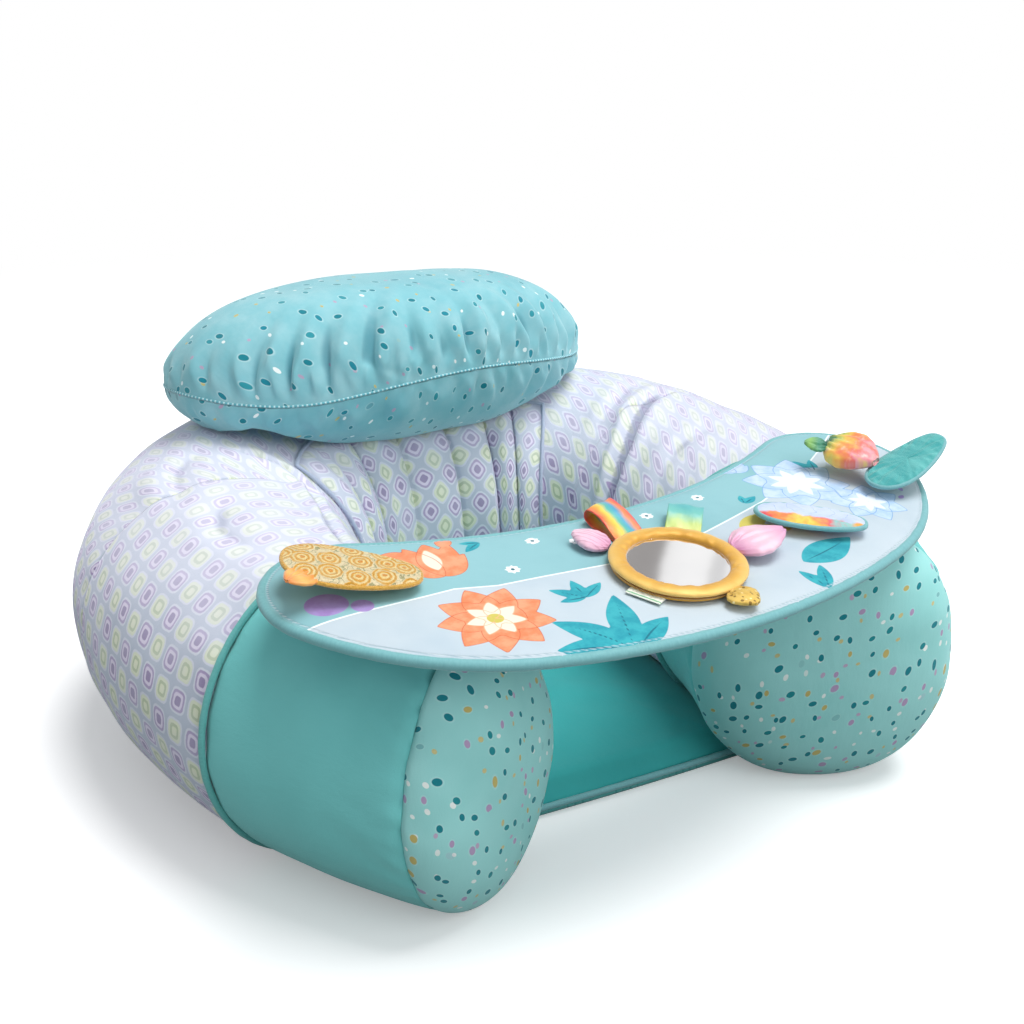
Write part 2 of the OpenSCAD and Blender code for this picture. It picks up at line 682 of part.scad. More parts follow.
// Leaf-shaped plush tab, fuller in its middle
module leaf_solid(l, w, t) {
    steps = 8;
    rows = [for (i = [0:steps])
        let (f = i / steps, half = w / 2 * pow(sin(180 * (0.06 + 0.9 * pow(f, 0.8))), 0.8),
             h = t / 2 * pow(sin(180 * (0.08 + 0.86 * f)), 0.7))
            [for (k = [0:11]) [half * cos(30 * k), f * l, h * sin(30 * k)]]];
    loft(rows);
}
module petal_left() {
    color(pink) at_mirror_edge(123, 3.6, 1.2) rotate([8, 0, 0]) leaf_solid(26, 24, 8);
}
module petal_right() {
    color(pink) at_mirror_edge(-6, 6) rotate([10, 0, 0]) leaf_solid(40, 34, 9);
}
module mirror_gold_tab() {
    color(gold) at_mirror_edge(-80, 4) leaf_solid(20, 24, 6);
}
module mirror_crinkle_tab() {
    color([0.90, 0.90, 0.80]) at_mirror_edge(204, 0.2) translate([-12, -6, 0]) cube([24, 12, 1.6]);
}

// ---- Flaps on the tray ----
// A padded flap: an outline of points at a height, closed over the same points
function flap_outline(l, w, tip, n = 24) = [for (i = [0:n - 1])
    let (a = 360 * i / n, taper = 1 - tip * (1 + cos(a)) / 2 * pow(abs(sin(a)), 0.6))
        [l / 2 * cos(a), w / 2 * signed_pow(sin(a), 0.9) * taper]];
module padded_flap(outline, t, curl = 0) {
    ring = function (k, z) [for (p = outline) [p.x * k, p.y * k, z + curl * pow(p.x * k / 40, 2)]];
    loft([ring(0.45, -t / 2), ring(0.86, -t * 0.4), ring(1, -t * 0.14), ring(1, t * 0.14),
          ring(0.86, t * 0.4), ring(0.45, t / 2)], true);
}
// Each flap's place in the tray's frame, its turn, and the slope that it rises at
leaf_at = [-210, -15];
leaf_turn = -26;
leaf_rise = 9;
leaf_hinge_x = 42;
module leaf_flap() {
    color(gold) in_tray_frame() translate([leaf_at.x, leaf_at.y, rest_z + 3.4])
        rotate([0, 0, leaf_turn]) translate([leaf_hinge_x, 0, 0]) rotate([0, leaf_rise, 0])
            translate([-leaf_hinge_x, 0, 2]) padded_flap(flap_outline(84, 56, 0.4), 8, 1.2);
}
wing_at = [182, -58];
wing_turn = 7;
wing_rise = 15;
module in_wing_frame() {
    in_tray_frame() translate([wing_at.x, wing_at.y, rest_z + 4.2]) rotate([0, 0, wing_turn])
        rotate([0, -wing_rise, 0]) children();
}
module wing_flap() {
    color(teal) in_wing_frame() translate([39, -14, 2]) padded_flap(flap_outline(78, 40, 0.4), 8, 2);
}
module wing_ribbon_roll() {
    color([0.95, 0.65, 0.55]) in_wing_frame() translate([18, 40, 9]) rotate([0, 0, 180])
        leaf_solid(42, 40, 18);
}
petal_at = [105, -86];
petal_turn = -44;
petal_rise = 5;
petal_hinge_y = 21;
module petal_flap() {
    color(pale_blue) in_tray_frame() translate([petal_at.x, petal_at.y, rest_z + 3.2])
        rotate([0, 0, petal_turn]) translate([0, petal_hinge_y, 0]) rotate([-petal_rise, 0, 0])
            translate([0, -petal_hinge_y, 1]) padded_flap(flap_outline(74, 42, 0.2), 7, 0.5);
}

// ---- Pillow ----
pillow_around = 28;
pillow_radii = [0.3, 0.52, 0.7, 0.86, 0.96];
// Nearest point of the ring's path: distance inward from it, and path length
function foot(x, y) =
    let (ax = abs(x), t1 = atan2(ax, y - centre1.y), d2 = [ax, y] - centre2, t2 = atan2(d2.x, d2.y),
         d3 = [ax, y] - centre3, t3 = atan2(d3.x, d3.y))
    t1 < back_turn ? [norm([ax, y] - centre1) - back_radius, back_radius * t1 * PI / 180]
    : t2 < turn2 ? [norm(d2) - corner_radius, s1 + corner_radius * (t2 - back_turn) * PI / 180]
    : [norm(d3) - arm_radius, s2 + arm_radius * (t3 - turn2) * PI / 180];
// Height of a skin that lies over the tube, clear of it by grow, above a point
// of the floor, or 0 beside the tube
function tube_top(x, y, grow = 0) =
    let (f = foot(x, y), s = sign(x) * clamp(f[1], 0, s3), k = abs(f[0]) / (half_w(s) + grow), hh = half_h(s))
    k >= 1 ? 0 : hh - floor_press / 2
        + (hh + floor_press / 2 + grow) * pow(1 - pow(k, 2 / power(s)), power(s) / 2);
// Room under the pillow: more where it lies on the quilted panel, inside the ring
pillow_rest = 3;
function rest_room(x, y) =
    let (f = foot(x, y), across = clamp(-f[0] / 30, 0, 1),
         along = clamp((panel_tops[side_of(x)] + 40 - f[1]) / 25, 0, 1))
    pillow_rest + panel_t * across * along;
// Plan of the pillow about its centre: a half moon with its tips set back
function pillow_plan(a, k) =
    let (c = signed_pow(cos(a), 0.82), s = signed_pow(sin(a), 0.86))
    [pillow_l * k * c, pillow_d * k * s * 0.92 + 16 * k * k * c * c];
function pillow_xy(p) = [pillow_at.x + p.x * cos(pillow_turn) - p.y * sin(pillow_turn),
                         pillow_at.y + p.x * sin(pillow_turn) + p.y * cos(pillow_turn)];
function pillow_seam_z(p) = pillow_at.z - p.y * tan(pillow_tilt) - p.x * tan(pillow_lean);
// How far out the skin at k lies when it is drawn in for a thickness t
function pillow_inset(k, t) = k - t / pillow_d * pow(k, 6);
// Point of the pillow's skin, drawn in by t
function pillow_point(a, k, up, t = 0) =
    let (p = pillow_plan(a, k), xy = pillow_xy(p), inner = pillow_xy(pillow_plan(a, pillow_inset(k, t))),
         swell = pow(max(0, 1 - pow(k, 3)), 0.5),
         z = pillow_seam_z(p) + (up ? pillow_up : -pillow_down) * swell,
         skin = up ? z - t : max(z, tube_top(xy.x, xy.y, rest_room(xy.x, xy.y))) + t)
    [inner.x, inner.y, skin];
function pillow_seam(k, t = 0) = [for (i = [0:pillow_around - 1])
    let (p = pillow_plan(i * 360 / pillow_around, pillow_inset(k, t)), xy = pillow_xy(p))
        [xy.x, xy.y, pillow_seam_z(p)]];
function pillow_skin(up, t = 0) = concat(
    [for (k = pillow_radii) [for (i = [0:pillow_around - 1])
        pillow_point(i * 360 / pillow_around, k, up, t)]],
    [pillow_seam(1, t)]);
// Cloth half of the pillow, from its middle out to the seam
module pillow_panel(up) {
    outer = pillow_skin(up);
    inner = pillow_skin(up, pillow_cloth_t);
    rows = len(outer);
    cols = pillow_around;
    first_inner = rows * cols;
    pole = 2 * rows * cols;
    last = (rows - 1) * cols;
    polyhedron(concat(flatten(outer), flatten(inner),
                      [pillow_point(0, 0, up), pillow_point(0, 0, up, pillow_cloth_t)]), concat(
        wrap_faces(rows, cols, 0, !up),
        wrap_faces(rows, cols, first_inner, up),
        band_faces(last, first_inner + last, cols, !up),
        [for (j = [0:cols - 1]) let (b = (j + 1) % cols) up ? [j, pole, b] : [b, pole, j]],
        [for (j = [0:cols - 1])
            let (a = first_inner + j, b = first_inner + (j + 1) % cols)
                up ? [b, pole + 1, a] : [a, pole + 1, b]]));
}
module pillow_top() {
    color(turquoise) pillow_panel(true);
}
module pillow_bottom() {
    color(turquoise) pillow_panel(false);
}
module pillow_piping() {
    color(aqua) cord(pillow_seam(1.006), 1.6, true, 6);
}
module pillow_filling() {
    t = pillow_cloth_t + 1.5;
    radii = [0.3, 0.52, 0.7, 0.86];
    ring = function (k, up) [for (i = [0:pillow_around - 1])
        pillow_point(i * 360 / pillow_around, k, up, t)];
    color([0.95, 0.95, 0.95])
    loft(concat([for (k = radii) ring(k, false)], [for (i = [3:-1:0]) ring(radii[i], true)]), true);
}
// Cloth strip that rises from the top of the back to the pillow's rear seam
strap_half_l = 46;
strap_gap = 4;
pillow_strap_foot = 262;
module pillow_strap() {
    cloth = 1.6;
    tread = 14;
    top = [pillow_at.y + pillow_d * 0.92 + strap_gap, pillow_seam_z([0, pillow_d * 0.92]) - 2];
    line = concat([top], [for (i = [0:2])
        let (y = pillow_strap_foot + tread * i) [y, tube_top(0, y) + 0.6]]);
    color(lilac) translate([-strap_half_l + pillow_at.x, 0, 0]) rotate([90, 0, 90])
    linear_extrude(2 * strap_half_l)
        polygon(concat([for (p = line) p], [for (i = [3:-1:0]) line[i] + [0.5, cloth]]));
}

cover_back();
cover_side_left();
cover_side_right();
cover_arm_left();
cover_arm_right();
arm_end_left();
arm_end_right();
seam_piping_left();
seam_piping_right();
backrest_panel();
backrest_piping();
air_chamber();
valve_body();
valve_cap();
base_cloth();
seat_pad();
base_piping();
zip_tape();
zip_coil();
zip_slider();
arm_loop_patch_left();
arm_loop_patch_right();
tray_strap_left();
tray_strap_right();
tray_pad();
tray_piping();
tray_hook_patches();
tray_tabs();
mirror_backing();
mirror_rim();
mirror_film();
rainbow_ribbon();
satin_loop();
petal_left();
petal_right();
mirror_gold_tab();
mirror_crinkle_tab();
leaf_flap();
wing_flap();
wing_ribbon_roll();
petal_flap();
pillow_top();
pillow_bottom();
pillow_piping();
pillow_filling();
pillow_strap();
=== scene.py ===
"""Looks of the baby floor seat: cloth, piping, prints, ribbons and studio.

The frame is in metres. Shapes are written in millimetres here and turned into
metres where a mesh is made; node materials are written in metres.
"""
import math
from functools import partialmethod, reduce

import bpy
import numpy as np
from mathutils import Matrix, Vector
from mathutils.geometry import delaunay_2d_cdt


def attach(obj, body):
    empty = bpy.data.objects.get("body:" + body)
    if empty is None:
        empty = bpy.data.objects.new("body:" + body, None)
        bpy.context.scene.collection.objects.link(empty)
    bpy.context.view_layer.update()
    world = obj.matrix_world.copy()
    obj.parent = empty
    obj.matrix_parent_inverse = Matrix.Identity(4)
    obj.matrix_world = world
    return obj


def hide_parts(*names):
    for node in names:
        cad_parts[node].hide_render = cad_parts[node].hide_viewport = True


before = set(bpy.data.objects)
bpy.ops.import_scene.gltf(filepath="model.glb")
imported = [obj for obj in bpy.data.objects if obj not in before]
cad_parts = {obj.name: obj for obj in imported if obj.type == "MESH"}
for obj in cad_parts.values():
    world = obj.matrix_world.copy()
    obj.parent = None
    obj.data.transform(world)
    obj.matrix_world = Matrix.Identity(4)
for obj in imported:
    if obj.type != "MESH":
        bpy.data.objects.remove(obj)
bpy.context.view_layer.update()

MM = 0.001


# ---------------------------------------------------------------- the ring's shape
BACK_Y = 208.0
ARC_R = (334.0, 168.0, 416.0)
ARC_TURN = (13.2, 66.4, 40.8)
S1 = ARC_R[0] * math.radians(ARC_TURN[0])
S2 = S1 + ARC_R[1] * math.radians(ARC_TURN[1])
S3 = S2 + ARC_R[2] * math.radians(ARC_TURN[2])
TURN2 = ARC_TURN[0] + ARC_TURN[1]
HALF_W, HALF_W_ENDS, HALF_W_TAPERS = 118.5, (83.0, 97.0), (2.6, 1.8)
HALF_H, HALF_H_ENDS, HALF_H_TAPER = 118.0, (99.0, 101.5), 1.43
POWER, POWER_ENDS = 0.95, (1.08, 0.88)
PRESS = 4.0
BULGES = (41.0, 49.0)
COVER_T = 4.0
BACK_SEAM = 290.0
ARM_SEAMS = (444.0, 450.0)
PIPING_R = 2.4
SIDES = ((-1, "left"), (1, "right"))


def arc_centre(i):
    """Centre of the path's arc i on the right-hand side."""
    c = np.array([0.0, BACK_Y - ARC_R[0]])
    for k, turn in ((1, ARC_TURN[0]), (2, TURN2)):
        if i >= k:
            t = math.radians(turn)
            c = c + (ARC_R[k - 1] - ARC_R[k]) * np.array([math.sin(t), math.cos(t)])
    return c


CENTRES = np.array([arc_centre(i) for i in range(3)])


def spow(v, p):
    return np.sign(v) * np.abs(v) ** p


def arc_of(q):
    return np.where(q < S1, 0, np.where(q < S2, 1, 2))


def turn_at(q):
    """Direction of the outward normal at path length q, in radians from +Y."""
    start = np.array([0.0, S1, S2])
    base = np.radians([0.0, ARC_TURN[0], TURN2])
    i = arc_of(q)
    return base[i] + (q - start[i]) / np.array(ARC_R)[i]


def by_side(s, pair):
    return np.where(s < 0, pair[0], pair[1])


def half_w(s):
    k = np.minimum(1, np.abs(s) / S3)
    return HALF_W - (HALF_W - by_side(s, HALF_W_ENDS)) * k ** by_side(s, HALF_W_TAPERS)


def half_h(s):
    k = np.minimum(1, np.abs(s) / S3)
    return HALF_H - (HALF_H - by_side(s, HALF_H_ENDS)) * k ** HALF_H_TAPER


def power(s):
    return POWER + (by_side(s, POWER_ENDS) - POWER) * np.minimum(1, np.abs(s) / S3) ** 2


def tube(s, a, grow=0.0, low=0.0, over=0.0):
    """Point of the ring at path length s and angle a (degrees) round the section:
    0 faces the seat, 90 is the top, 180 is outside. over is degrees round an arm's end."""
    s, a, grow, over = np.broadcast_arrays(*(np.asarray(v, float) for v in (s, a, grow, over)))
    q = np.minimum(np.abs(s), S3)
    t, i = turn_at(q), arc_of(q)
    o = np.radians(over)
    shrink = np.cos(o).clip(0) ** 0.75
    u = (half_w(s) + grow) * shrink * spow(np.cos(np.radians(a)), power(s))
    hh = half_h(s)
    z = hh - PRESS / 2 + (hh + PRESS / 2 + grow) * shrink * spow(np.sin(np.radians(a)), power(s))
    out, bulge = np.array(ARC_R)[i] - u, (by_side(s, BULGES) + grow) * np.sin(o)
    x = CENTRES[i, 0] + out * np.sin(t) + bulge * np.cos(t)
    y = CENTRES[i, 1] + out * np.cos(t) - bulge * np.sin(t)
    return np.stack([np.where(s < 0, -x, x), y, np.maximum(z, low)], -1)


def foot(x, y):
    """Distance inward from the ring's path, and path length, of a point of the floor."""
    ax = np.abs(x)
    d = [np.stack([ax, y], -1) - c for c in CENTRES]
    t = [np.arctan2(v[..., 0], v[..., 1]) for v in d]
    first, second = t[0] < math.radians(ARC_TURN[0]), t[1] < math.radians(TURN2)
    off = np.where(first, np.hypot(*np.moveaxis(d[0], -1, 0)) - ARC_R[0],
                   np.where(second, np.hypot(*np.moveaxis(d[1], -1, 0)) - ARC_R[1],
                            np.hypot(*np.moveaxis(d[2], -1, 0)) - ARC_R[2]))
    s = np.where(first, ARC_R[0] * t[0],
                 np.where(second, S1 + ARC_R[1] * (t[1] - math.radians(ARC_TURN[0])),
                          S2 + ARC_R[2] * (t[2] - math.radians(TURN2))))
    return off, s


def tube_top(x, y, grow=0.0):
    """Height of a skin that lies over the ring, clear of it by grow, or 0 beside it."""
    off, s = foot(x, y)
    s = np.sign(x) * s.clip(0, S3)
    k, hh = np.abs(off) / (half_w(s) + grow), half_h(s)
    z = hh - PRESS / 2 + (hh + PRESS / 2 + grow) * (1 - k.clip(0, 1) ** (2 / power(s))) ** (power(s) / 2)
    return np.where(k >= 1, 0, z)


# ---------------------------------------------------------------- mesh helpers
def make(name, points, faces, material, body, uv=None, extra=None):
    """A mesh from points in millimetres. uv is in metres, one pair per point."""
    mesh = bpy.data.meshes.new(name)
    mesh.from_pydata((np.asarray(points, float) * MM).tolist(), [], faces)
    mesh.validate()
    if uv is not None:
        layer = mesh.uv_layers.new(name="UVMap")
        index = np.zeros(len(mesh.loops), np.int32)
        mesh.loops.foreach_get("vertex_index", index)
        layer.data.foreach_set("uv", np.asarray(uv, np.float32)[index].ravel())
    for key, values in (extra or {}).items():
        mesh.attributes.new(key, "FLOAT", "POINT").data.foreach_set("value", np.asarray(values, np.float32))
    mesh.polygons.foreach_set("use_smooth", [True] * len(mesh.polygons))
    mesh.materials.append(material)
    obj = bpy.data.objects.new(name, mesh)
    bpy.context.scene.collection.objects.link(obj)
    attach(obj, body)
    return obj


def dress(obj, slot, *nodes, fill=None):
    """Hides the model's nodes that a piece stands for. The finish slot and the fill are not used."""
    if nodes:
        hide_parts(*nodes)
    return obj


def grid_faces(nu, nv, first=0, close_u=False, close_v=False, flip=False):
    """Quads of a grid of nu rows of nv points."""
    i, j = np.meshgrid(np.arange(nu if close_u else nu - 1), np.arange(nv if close_v else nv - 1),
                       indexing="ij")
    i1, j1 = (i + 1) % nu, (j + 1) % nv
    quads = np.stack([i * nv + j, i1 * nv + j, i1 * nv + j1, i * nv + j1], -1).reshape(-1, 4) + first
    return (quads[:, ::-1] if flip else quads).tolist()


def band(a, b, close=True, flip=False):
    """Quads between two lines of point numbers."""
    n = len(a)
    faces = [[a[k], a[(k + 1) % n], b[(k + 1) % n], b[k]] for k in range(n if close else n - 1)]
    return [f[::-1] for f in faces] if flip else faces


def closed_grid(top, low):
    """A thin closed skin between two grids of points, the second under the first."""
    nu, nv = top.shape[:2]
    n = nu * nv
    faces = grid_faces(nu, nv) + grid_faces(nu, nv, n, flip=True)
    edge = ([i * nv for i in range(nu)] + [(nu - 1) * nv + j for j in range(1, nv)]
            + [i * nv + nv - 1 for i in range(nu - 2, -1, -1)] + list(range(nv - 2, 0, -1)))
    faces += band(edge, [k + n for k in edge], flip=True)
    return np.concatenate([top.reshape(-1, 3), low.reshape(-1, 3)]), faces


def skins(*parts):
    """Points, faces and uv of closed skins. Each part is its top and low grid of points and the
    place of each point on the flat cloth, in millimetres."""
    points, faces, uv = [], [], []
    for top, low, *flat in parts:
        p, quads = closed_grid(top, low)
        first = sum(map(len, points))
        faces += [[i + first for i in q] for q in quads]
        points.append(p)
        uv += 2 * [np.stack(np.broadcast_arrays(*(np.asarray(k) * MM for k in flat)), -1).reshape(-1, 2)]
    return np.concatenate(points), faces, np.concatenate(uv)


def closed_disc(top, low):
    """A closed skin between two grids whose rows run round and whose first rows close at a middle."""
    rows, cols = top.shape[:2]
    n, ring = rows * cols, np.arange(cols)
    points = np.concatenate([top.reshape(-1, 3), low.reshape(-1, 3), [top[0].mean(0), low[0].mean(0)]])
    faces = grid_faces(rows, cols, close_v=True) + grid_faces(rows, cols, n, close_v=True, flip=True)
    faces += band(ring + n - cols, ring + 2 * n - cols)
    faces += [[k, (k + 1) % cols, 2 * n] for k in range(cols)]
    faces += [[n + (k + 1) % cols, n + k, 2 * n + 1] for k in range(cols)]
    return points, faces


def rounds(n):
    """Angles of n points round a circle."""
    return np.radians(np.arange(n) * 360 / n)


def signed_distance(x, y, loop):
    """Distance from points to a closed outline, positive inside it."""
    shape = np.shape(x)
    x, y, loop = np.ravel(x), np.ravel(y), np.asarray(loop, float)
    best, inside = np.full(len(x), 1e9), np.zeros(len(x), bool)
    for (x0, y0), (x1, y1) in zip(loop, np.roll(loop, -1, 0)):
        dx, dy = x1 - x0, y1 - y0
        f = (((x - x0) * dx + (y - y0) * dy) / max(dx * dx + dy * dy, 1e-12)).clip(0, 1)
        best = np.minimum(best, np.hypot(x - x0 - f * dx, y - y0 - f * dy))
        if y0 != y1:
            inside ^= ((y0 > y) != (y1 > y)) & (x < x0 + (y - y0) * dx / dy)
    return np.where(inside, best, -best).reshape(shape)


def cord_mesh(name, line, r, material, body, closed=True, sides=14, up=(0, 0, 1), wobble=0.0):
    """Round cord along a line of points in millimetres."""
    line = np.asarray(line, float)
    if closed:
        along = np.roll(line, -1, 0) - np.roll(line, 1, 0)
    else:
        along = np.gradient(line, axis=0)
    along /= np.linalg.norm(along, axis=1)[:, None]
    side = np.cross(along, np.broadcast_to(np.asarray(up, float), along.shape))
    side /= np.linalg.norm(side, axis=1)[:, None]
    top = np.cross(side, along)
    turn = rounds(sides)
    length = np.concatenate([[0], np.cumsum(np.linalg.norm(np.diff(line, axis=0), axis=1))])
    radius = r * (1 + wobble * np.sin(length / 2.6) * np.sin(length / 17.0))
    p = line[:, None] + radius[:, None, None] * (np.cos(turn)[None, :, None] * side[:, None]
                                                 + np.sin(turn)[None, :, None] * top[:, None])
    uv = np.stack(np.broadcast_arrays(length[:, None] * MM, (turn * r)[None] * MM), -1).reshape(-1, 2)
    faces = grid_faces(len(line), sides, close_u=closed, close_v=True, flip=True)
    if not closed:
        n = len(line) * sides
        faces += [list(range(sides)), list(range(n - 1, n - sides - 1, -1))]
    return make(name, p.reshape(-1, 3), faces, material, body, uv=uv)


def wrinkles(along, away, spacing, depth, reach, seed, lean=0.25, sharp=0.32):
    """Gathers that run away from a seam: along is the place on the seam and away the
    distance from it, in millimetres. Each one has its own place, width, depth and reach."""
    pick = np.random.default_rng(seed)
    low, high = float(along.min()), float(along.max())
    total = np.zeros(np.broadcast(along, away).shape)
    at = low
    while at < high:
        at += spacing * pick.uniform(0.45, 1.6)
        w = spacing * sharp * pick.uniform(0.7, 1.5)
        d = depth * pick.uniform(0.35, 1.25)
        far = reach * pick.uniform(0.35, 1.5)
        slope, bend = pick.normal(0, lean), pick.normal(0, lean * 8)
        centre = at + slope * away + bend * np.sin(away / (reach * 1.3))
        width = w * (1 + 0.8 * away / reach)
        fade = np.exp(-(away / far) ** 1.5)
        gap = (along - centre) / width
        total = total - d * fade * (np.exp(-gap ** 2) - 0.55 * np.exp(-(np.abs(gap) - 1.9) ** 2))
    return total


def creases(x, y, lines):
    """Soft folds in a plane in millimetres: each line is (points, depth, width)."""
    total = np.zeros(np.broadcast(x, y).shape)
    for points, depth, width in lines:
        best = np.full(total.shape, 1e9)
        signed = np.zeros(total.shape)
        share = np.zeros(total.shape)
        n = len(points) - 1
        for k in range(n):
            (x0, y0), (x1, y1) = points[k], points[k + 1]
            dx, dy = x1 - x0, y1 - y0
            f = (((x - x0) * dx + (y - y0) * dy) / (dx * dx + dy * dy)).clip(0, 1)
            d = np.hypot(x - x0 - f * dx, y - y0 - f * dy)
            near = d < best
            best = np.where(near, d, best)
            signed = np.where(near, np.sign((x - x0) * dy - (y - y0) * dx), signed)
            share = np.where(near, (k + f) / n, share)
        taper = np.sin(np.pi * (0.06 + 0.88 * share)) ** 0.6
        g = best / width
        total = total - depth * taper * (np.exp(-g ** 2)
                                         - 0.5 * np.exp(-(g - 2.1) ** 2 / 1.6) * (1 + 0.35 * signed))
    return total


# ---------------------------------------------------------------- materials
def linear(rgb):
    """A colour that is written as it looks on a screen, 0 to 1, as linear light."""
    return tuple((c / 12.92 if c <= 0.04045 else ((c + 0.055) / 1.055) ** 2.4) for c in rgb)


def hexa(code):
    return (*linear(tuple(int(code[i:i + 2], 16) / 255 for i in (1, 3, 5))), 1.0)


class Nodes:
    """A node tree that is written as nested calls. A colour may be written as a string."""

    def __init__(self, tree):
        self.tree = tree

    def feed(self, node, socket, value):
        if isinstance(value, bpy.types.NodeSocket):
            self.tree.links.new(value, node.inputs[socket])
        elif value is not None:
            node.inputs[socket].default_value = hexa(value) if isinstance(value, str) else value

    def node(self, kind, inputs, out=0, **settings):
        """A new node and its output, or all its outputs where out is None."""
        made = self.tree.nodes.new("ShaderNode" + kind)
        for key, value in settings.items():
            setattr(made, key, value)
        for key, value in inputs.items():
            self.feed(made, key, value)
        return made.outputs if out is None else made.outputs[out]

    def uv(self):
        return self.node("UVMap", {}, uv_map="UVMap")

    def place(self):
        return self.node("TexCoord", {}, "Object")

    def attribute(self, name):
        return self.node("Attribute", {}, "Fac", attribute_name=name)

    def scaled(self, vector, scale, turn=0.0, move=(0, 0, 0)):
        scale = (scale,) * 3 if isinstance(scale, (int, float)) else scale
        return self.node("Mapping", {"Vector": vector, "Scale": scale, "Location": move,
                                     "Rotation": (0, 0, math.radians(turn))})

    def split(self, vector):
        return self.node("SeparateXYZ", {0: vector}, None)

    def math(self, op, a, b=None, c=None):
        return self.node("Math", {0: a, 1: b, 2: c}, operation=op)

    add, subtract = partialmethod(math, "ADD"), partialmethod(math, "SUBTRACT")
    times, times_plus = partialmethod(math, "MULTIPLY"), partialmethod(math, "MULTIPLY_ADD")
    fract, absolute = partialmethod(math, "FRACT"), partialmethod(math, "ABSOLUTE")
    power, sine = partialmethod(math, "POWER"), partialmethod(math, "SINE")

    def wave(self, value, length):
        return self.sine(self.times(value, math.tau / length))

    def from_middle(self, value):
        """Place in a cell of a grid, from -0.5 to 0.5."""
        return self.subtract(self.fract(value), 0.5)

    def mix(self, share, a, b, how="MIX"):
        return self.node("Mix", {0: share, 6: a, 7: b}, 2, data_type="RGBA", blend_type=how)

    def ramp(self, value, stops, how="LINEAR"):
        made = self.tree.nodes.new("ShaderNodeValToRGB")
        made.color_ramp.interpolation = how
        elements = made.color_ramp.elements
        while len(elements) < len(stops):
            elements.new(0.5)
        for element, (at, colour) in zip(elements, stops):
            element.position, element.color = at, hexa(colour) if isinstance(colour, str) else (*colour, 1)
        self.tree.links.new(value, made.inputs[0])
        return made.outputs[0]

    def step(self, value, low, high, to_low=0.0, to_high=1.0):
        return self.node("MapRange", {"Value": value, "From Min": low, "From Max": high,
                                      "To Min": to_low, "To Max": to_high}, interpolation_type="SMOOTHSTEP")

    def noise(self, vector, scale, detail=2.0, rough=0.5, out="Fac"):
        return self.node("TexNoise",
                         {"Vector": vector, "Scale": scale, "Detail": detail, "Roughness": rough}, out)

    def grains(self, vector, scale):
        return self.node("TexVoronoi", {"Vector": vector, "Scale": scale, "Randomness": 1.0}, "Distance")

    def cells(self, flat, size, spread):
        """Outputs of a flat lattice of cells, each moved about by the share spread."""
        return self.node("TexVoronoi", {"Scale": 1 / size, "Randomness": spread, "Vector": flat}, None,
                         voronoi_dimensions="2D")

    def bump(self, height, distance, strength=1.0, normal=None):
        return self.node("Bump", {"Height": height, "Distance": distance, "Strength": strength,
                                  "Normal": normal})


class Shader(Nodes):
    """A material and its Principled shader."""

    def __init__(self, name, rough=0.8, sheen=0.0, sheen_tint="#ffffff", coat=0.0, metal=0.0, specular=0.3):
        self.material = bpy.data.materials.new(name)
        self.material.use_nodes = True
        super().__init__(self.material.node_tree)
        self.bsdf = self.tree.nodes["Principled BSDF"]
        for socket, value in (("Roughness", rough), ("Sheen Weight", sheen), ("Sheen Roughness", 0.45),
                              ("Sheen Tint", sheen_tint), ("Coat Weight", coat), ("Metallic", metal),
                              ("Specular IOR Level", specular)):
            self.set(socket, value)

    def set(self, socket, value):
        self.feed(self.bsdf, socket, value)

    def colour(self, value):
        self.set("Base Color", value)

    def finish(self, height, distance, strength, normal=None):
        """Relief over the whole surface, which is the last thing that a material gets."""
        self.set("Normal", self.bump(height, distance, strength, normal))
        return self.material


def shade(m, base, dark, vector, scale=9.0, amount=0.5):
    """Slow patches of a darker tone over a colour."""
    patch = m.noise(vector, scale, 3.0, 0.6)
    return m.mix(m.step(patch, 0.42, 0.72, 0.0, amount), base, dark)


def painted_fold_shade(m, colour, dark, amount=0.55):
    """Painted shade: cloth darkened at the bottom of folds, where shade falls."""
    return m.mix(m.times(m.step(m.attribute("fold"), 0.35, 1.0), amount), colour, dark, "MULTIPLY")


def brushed(m, vector, strength=0.3):
    """Short pile of a brushed knit: fine grain and slow rubbed patches."""
    grain = m.noise(vector, 1900.0, 2.0, 0.6)
    rubbed = m.noise(m.scaled(vector, (1.0, 0.35, 1.0)), 140.0, 3.0, 0.6)
    fine = m.bump(grain, 0.0005, strength)
    return m.finish(rubbed, 0.0012, strength * 0.9, fine)


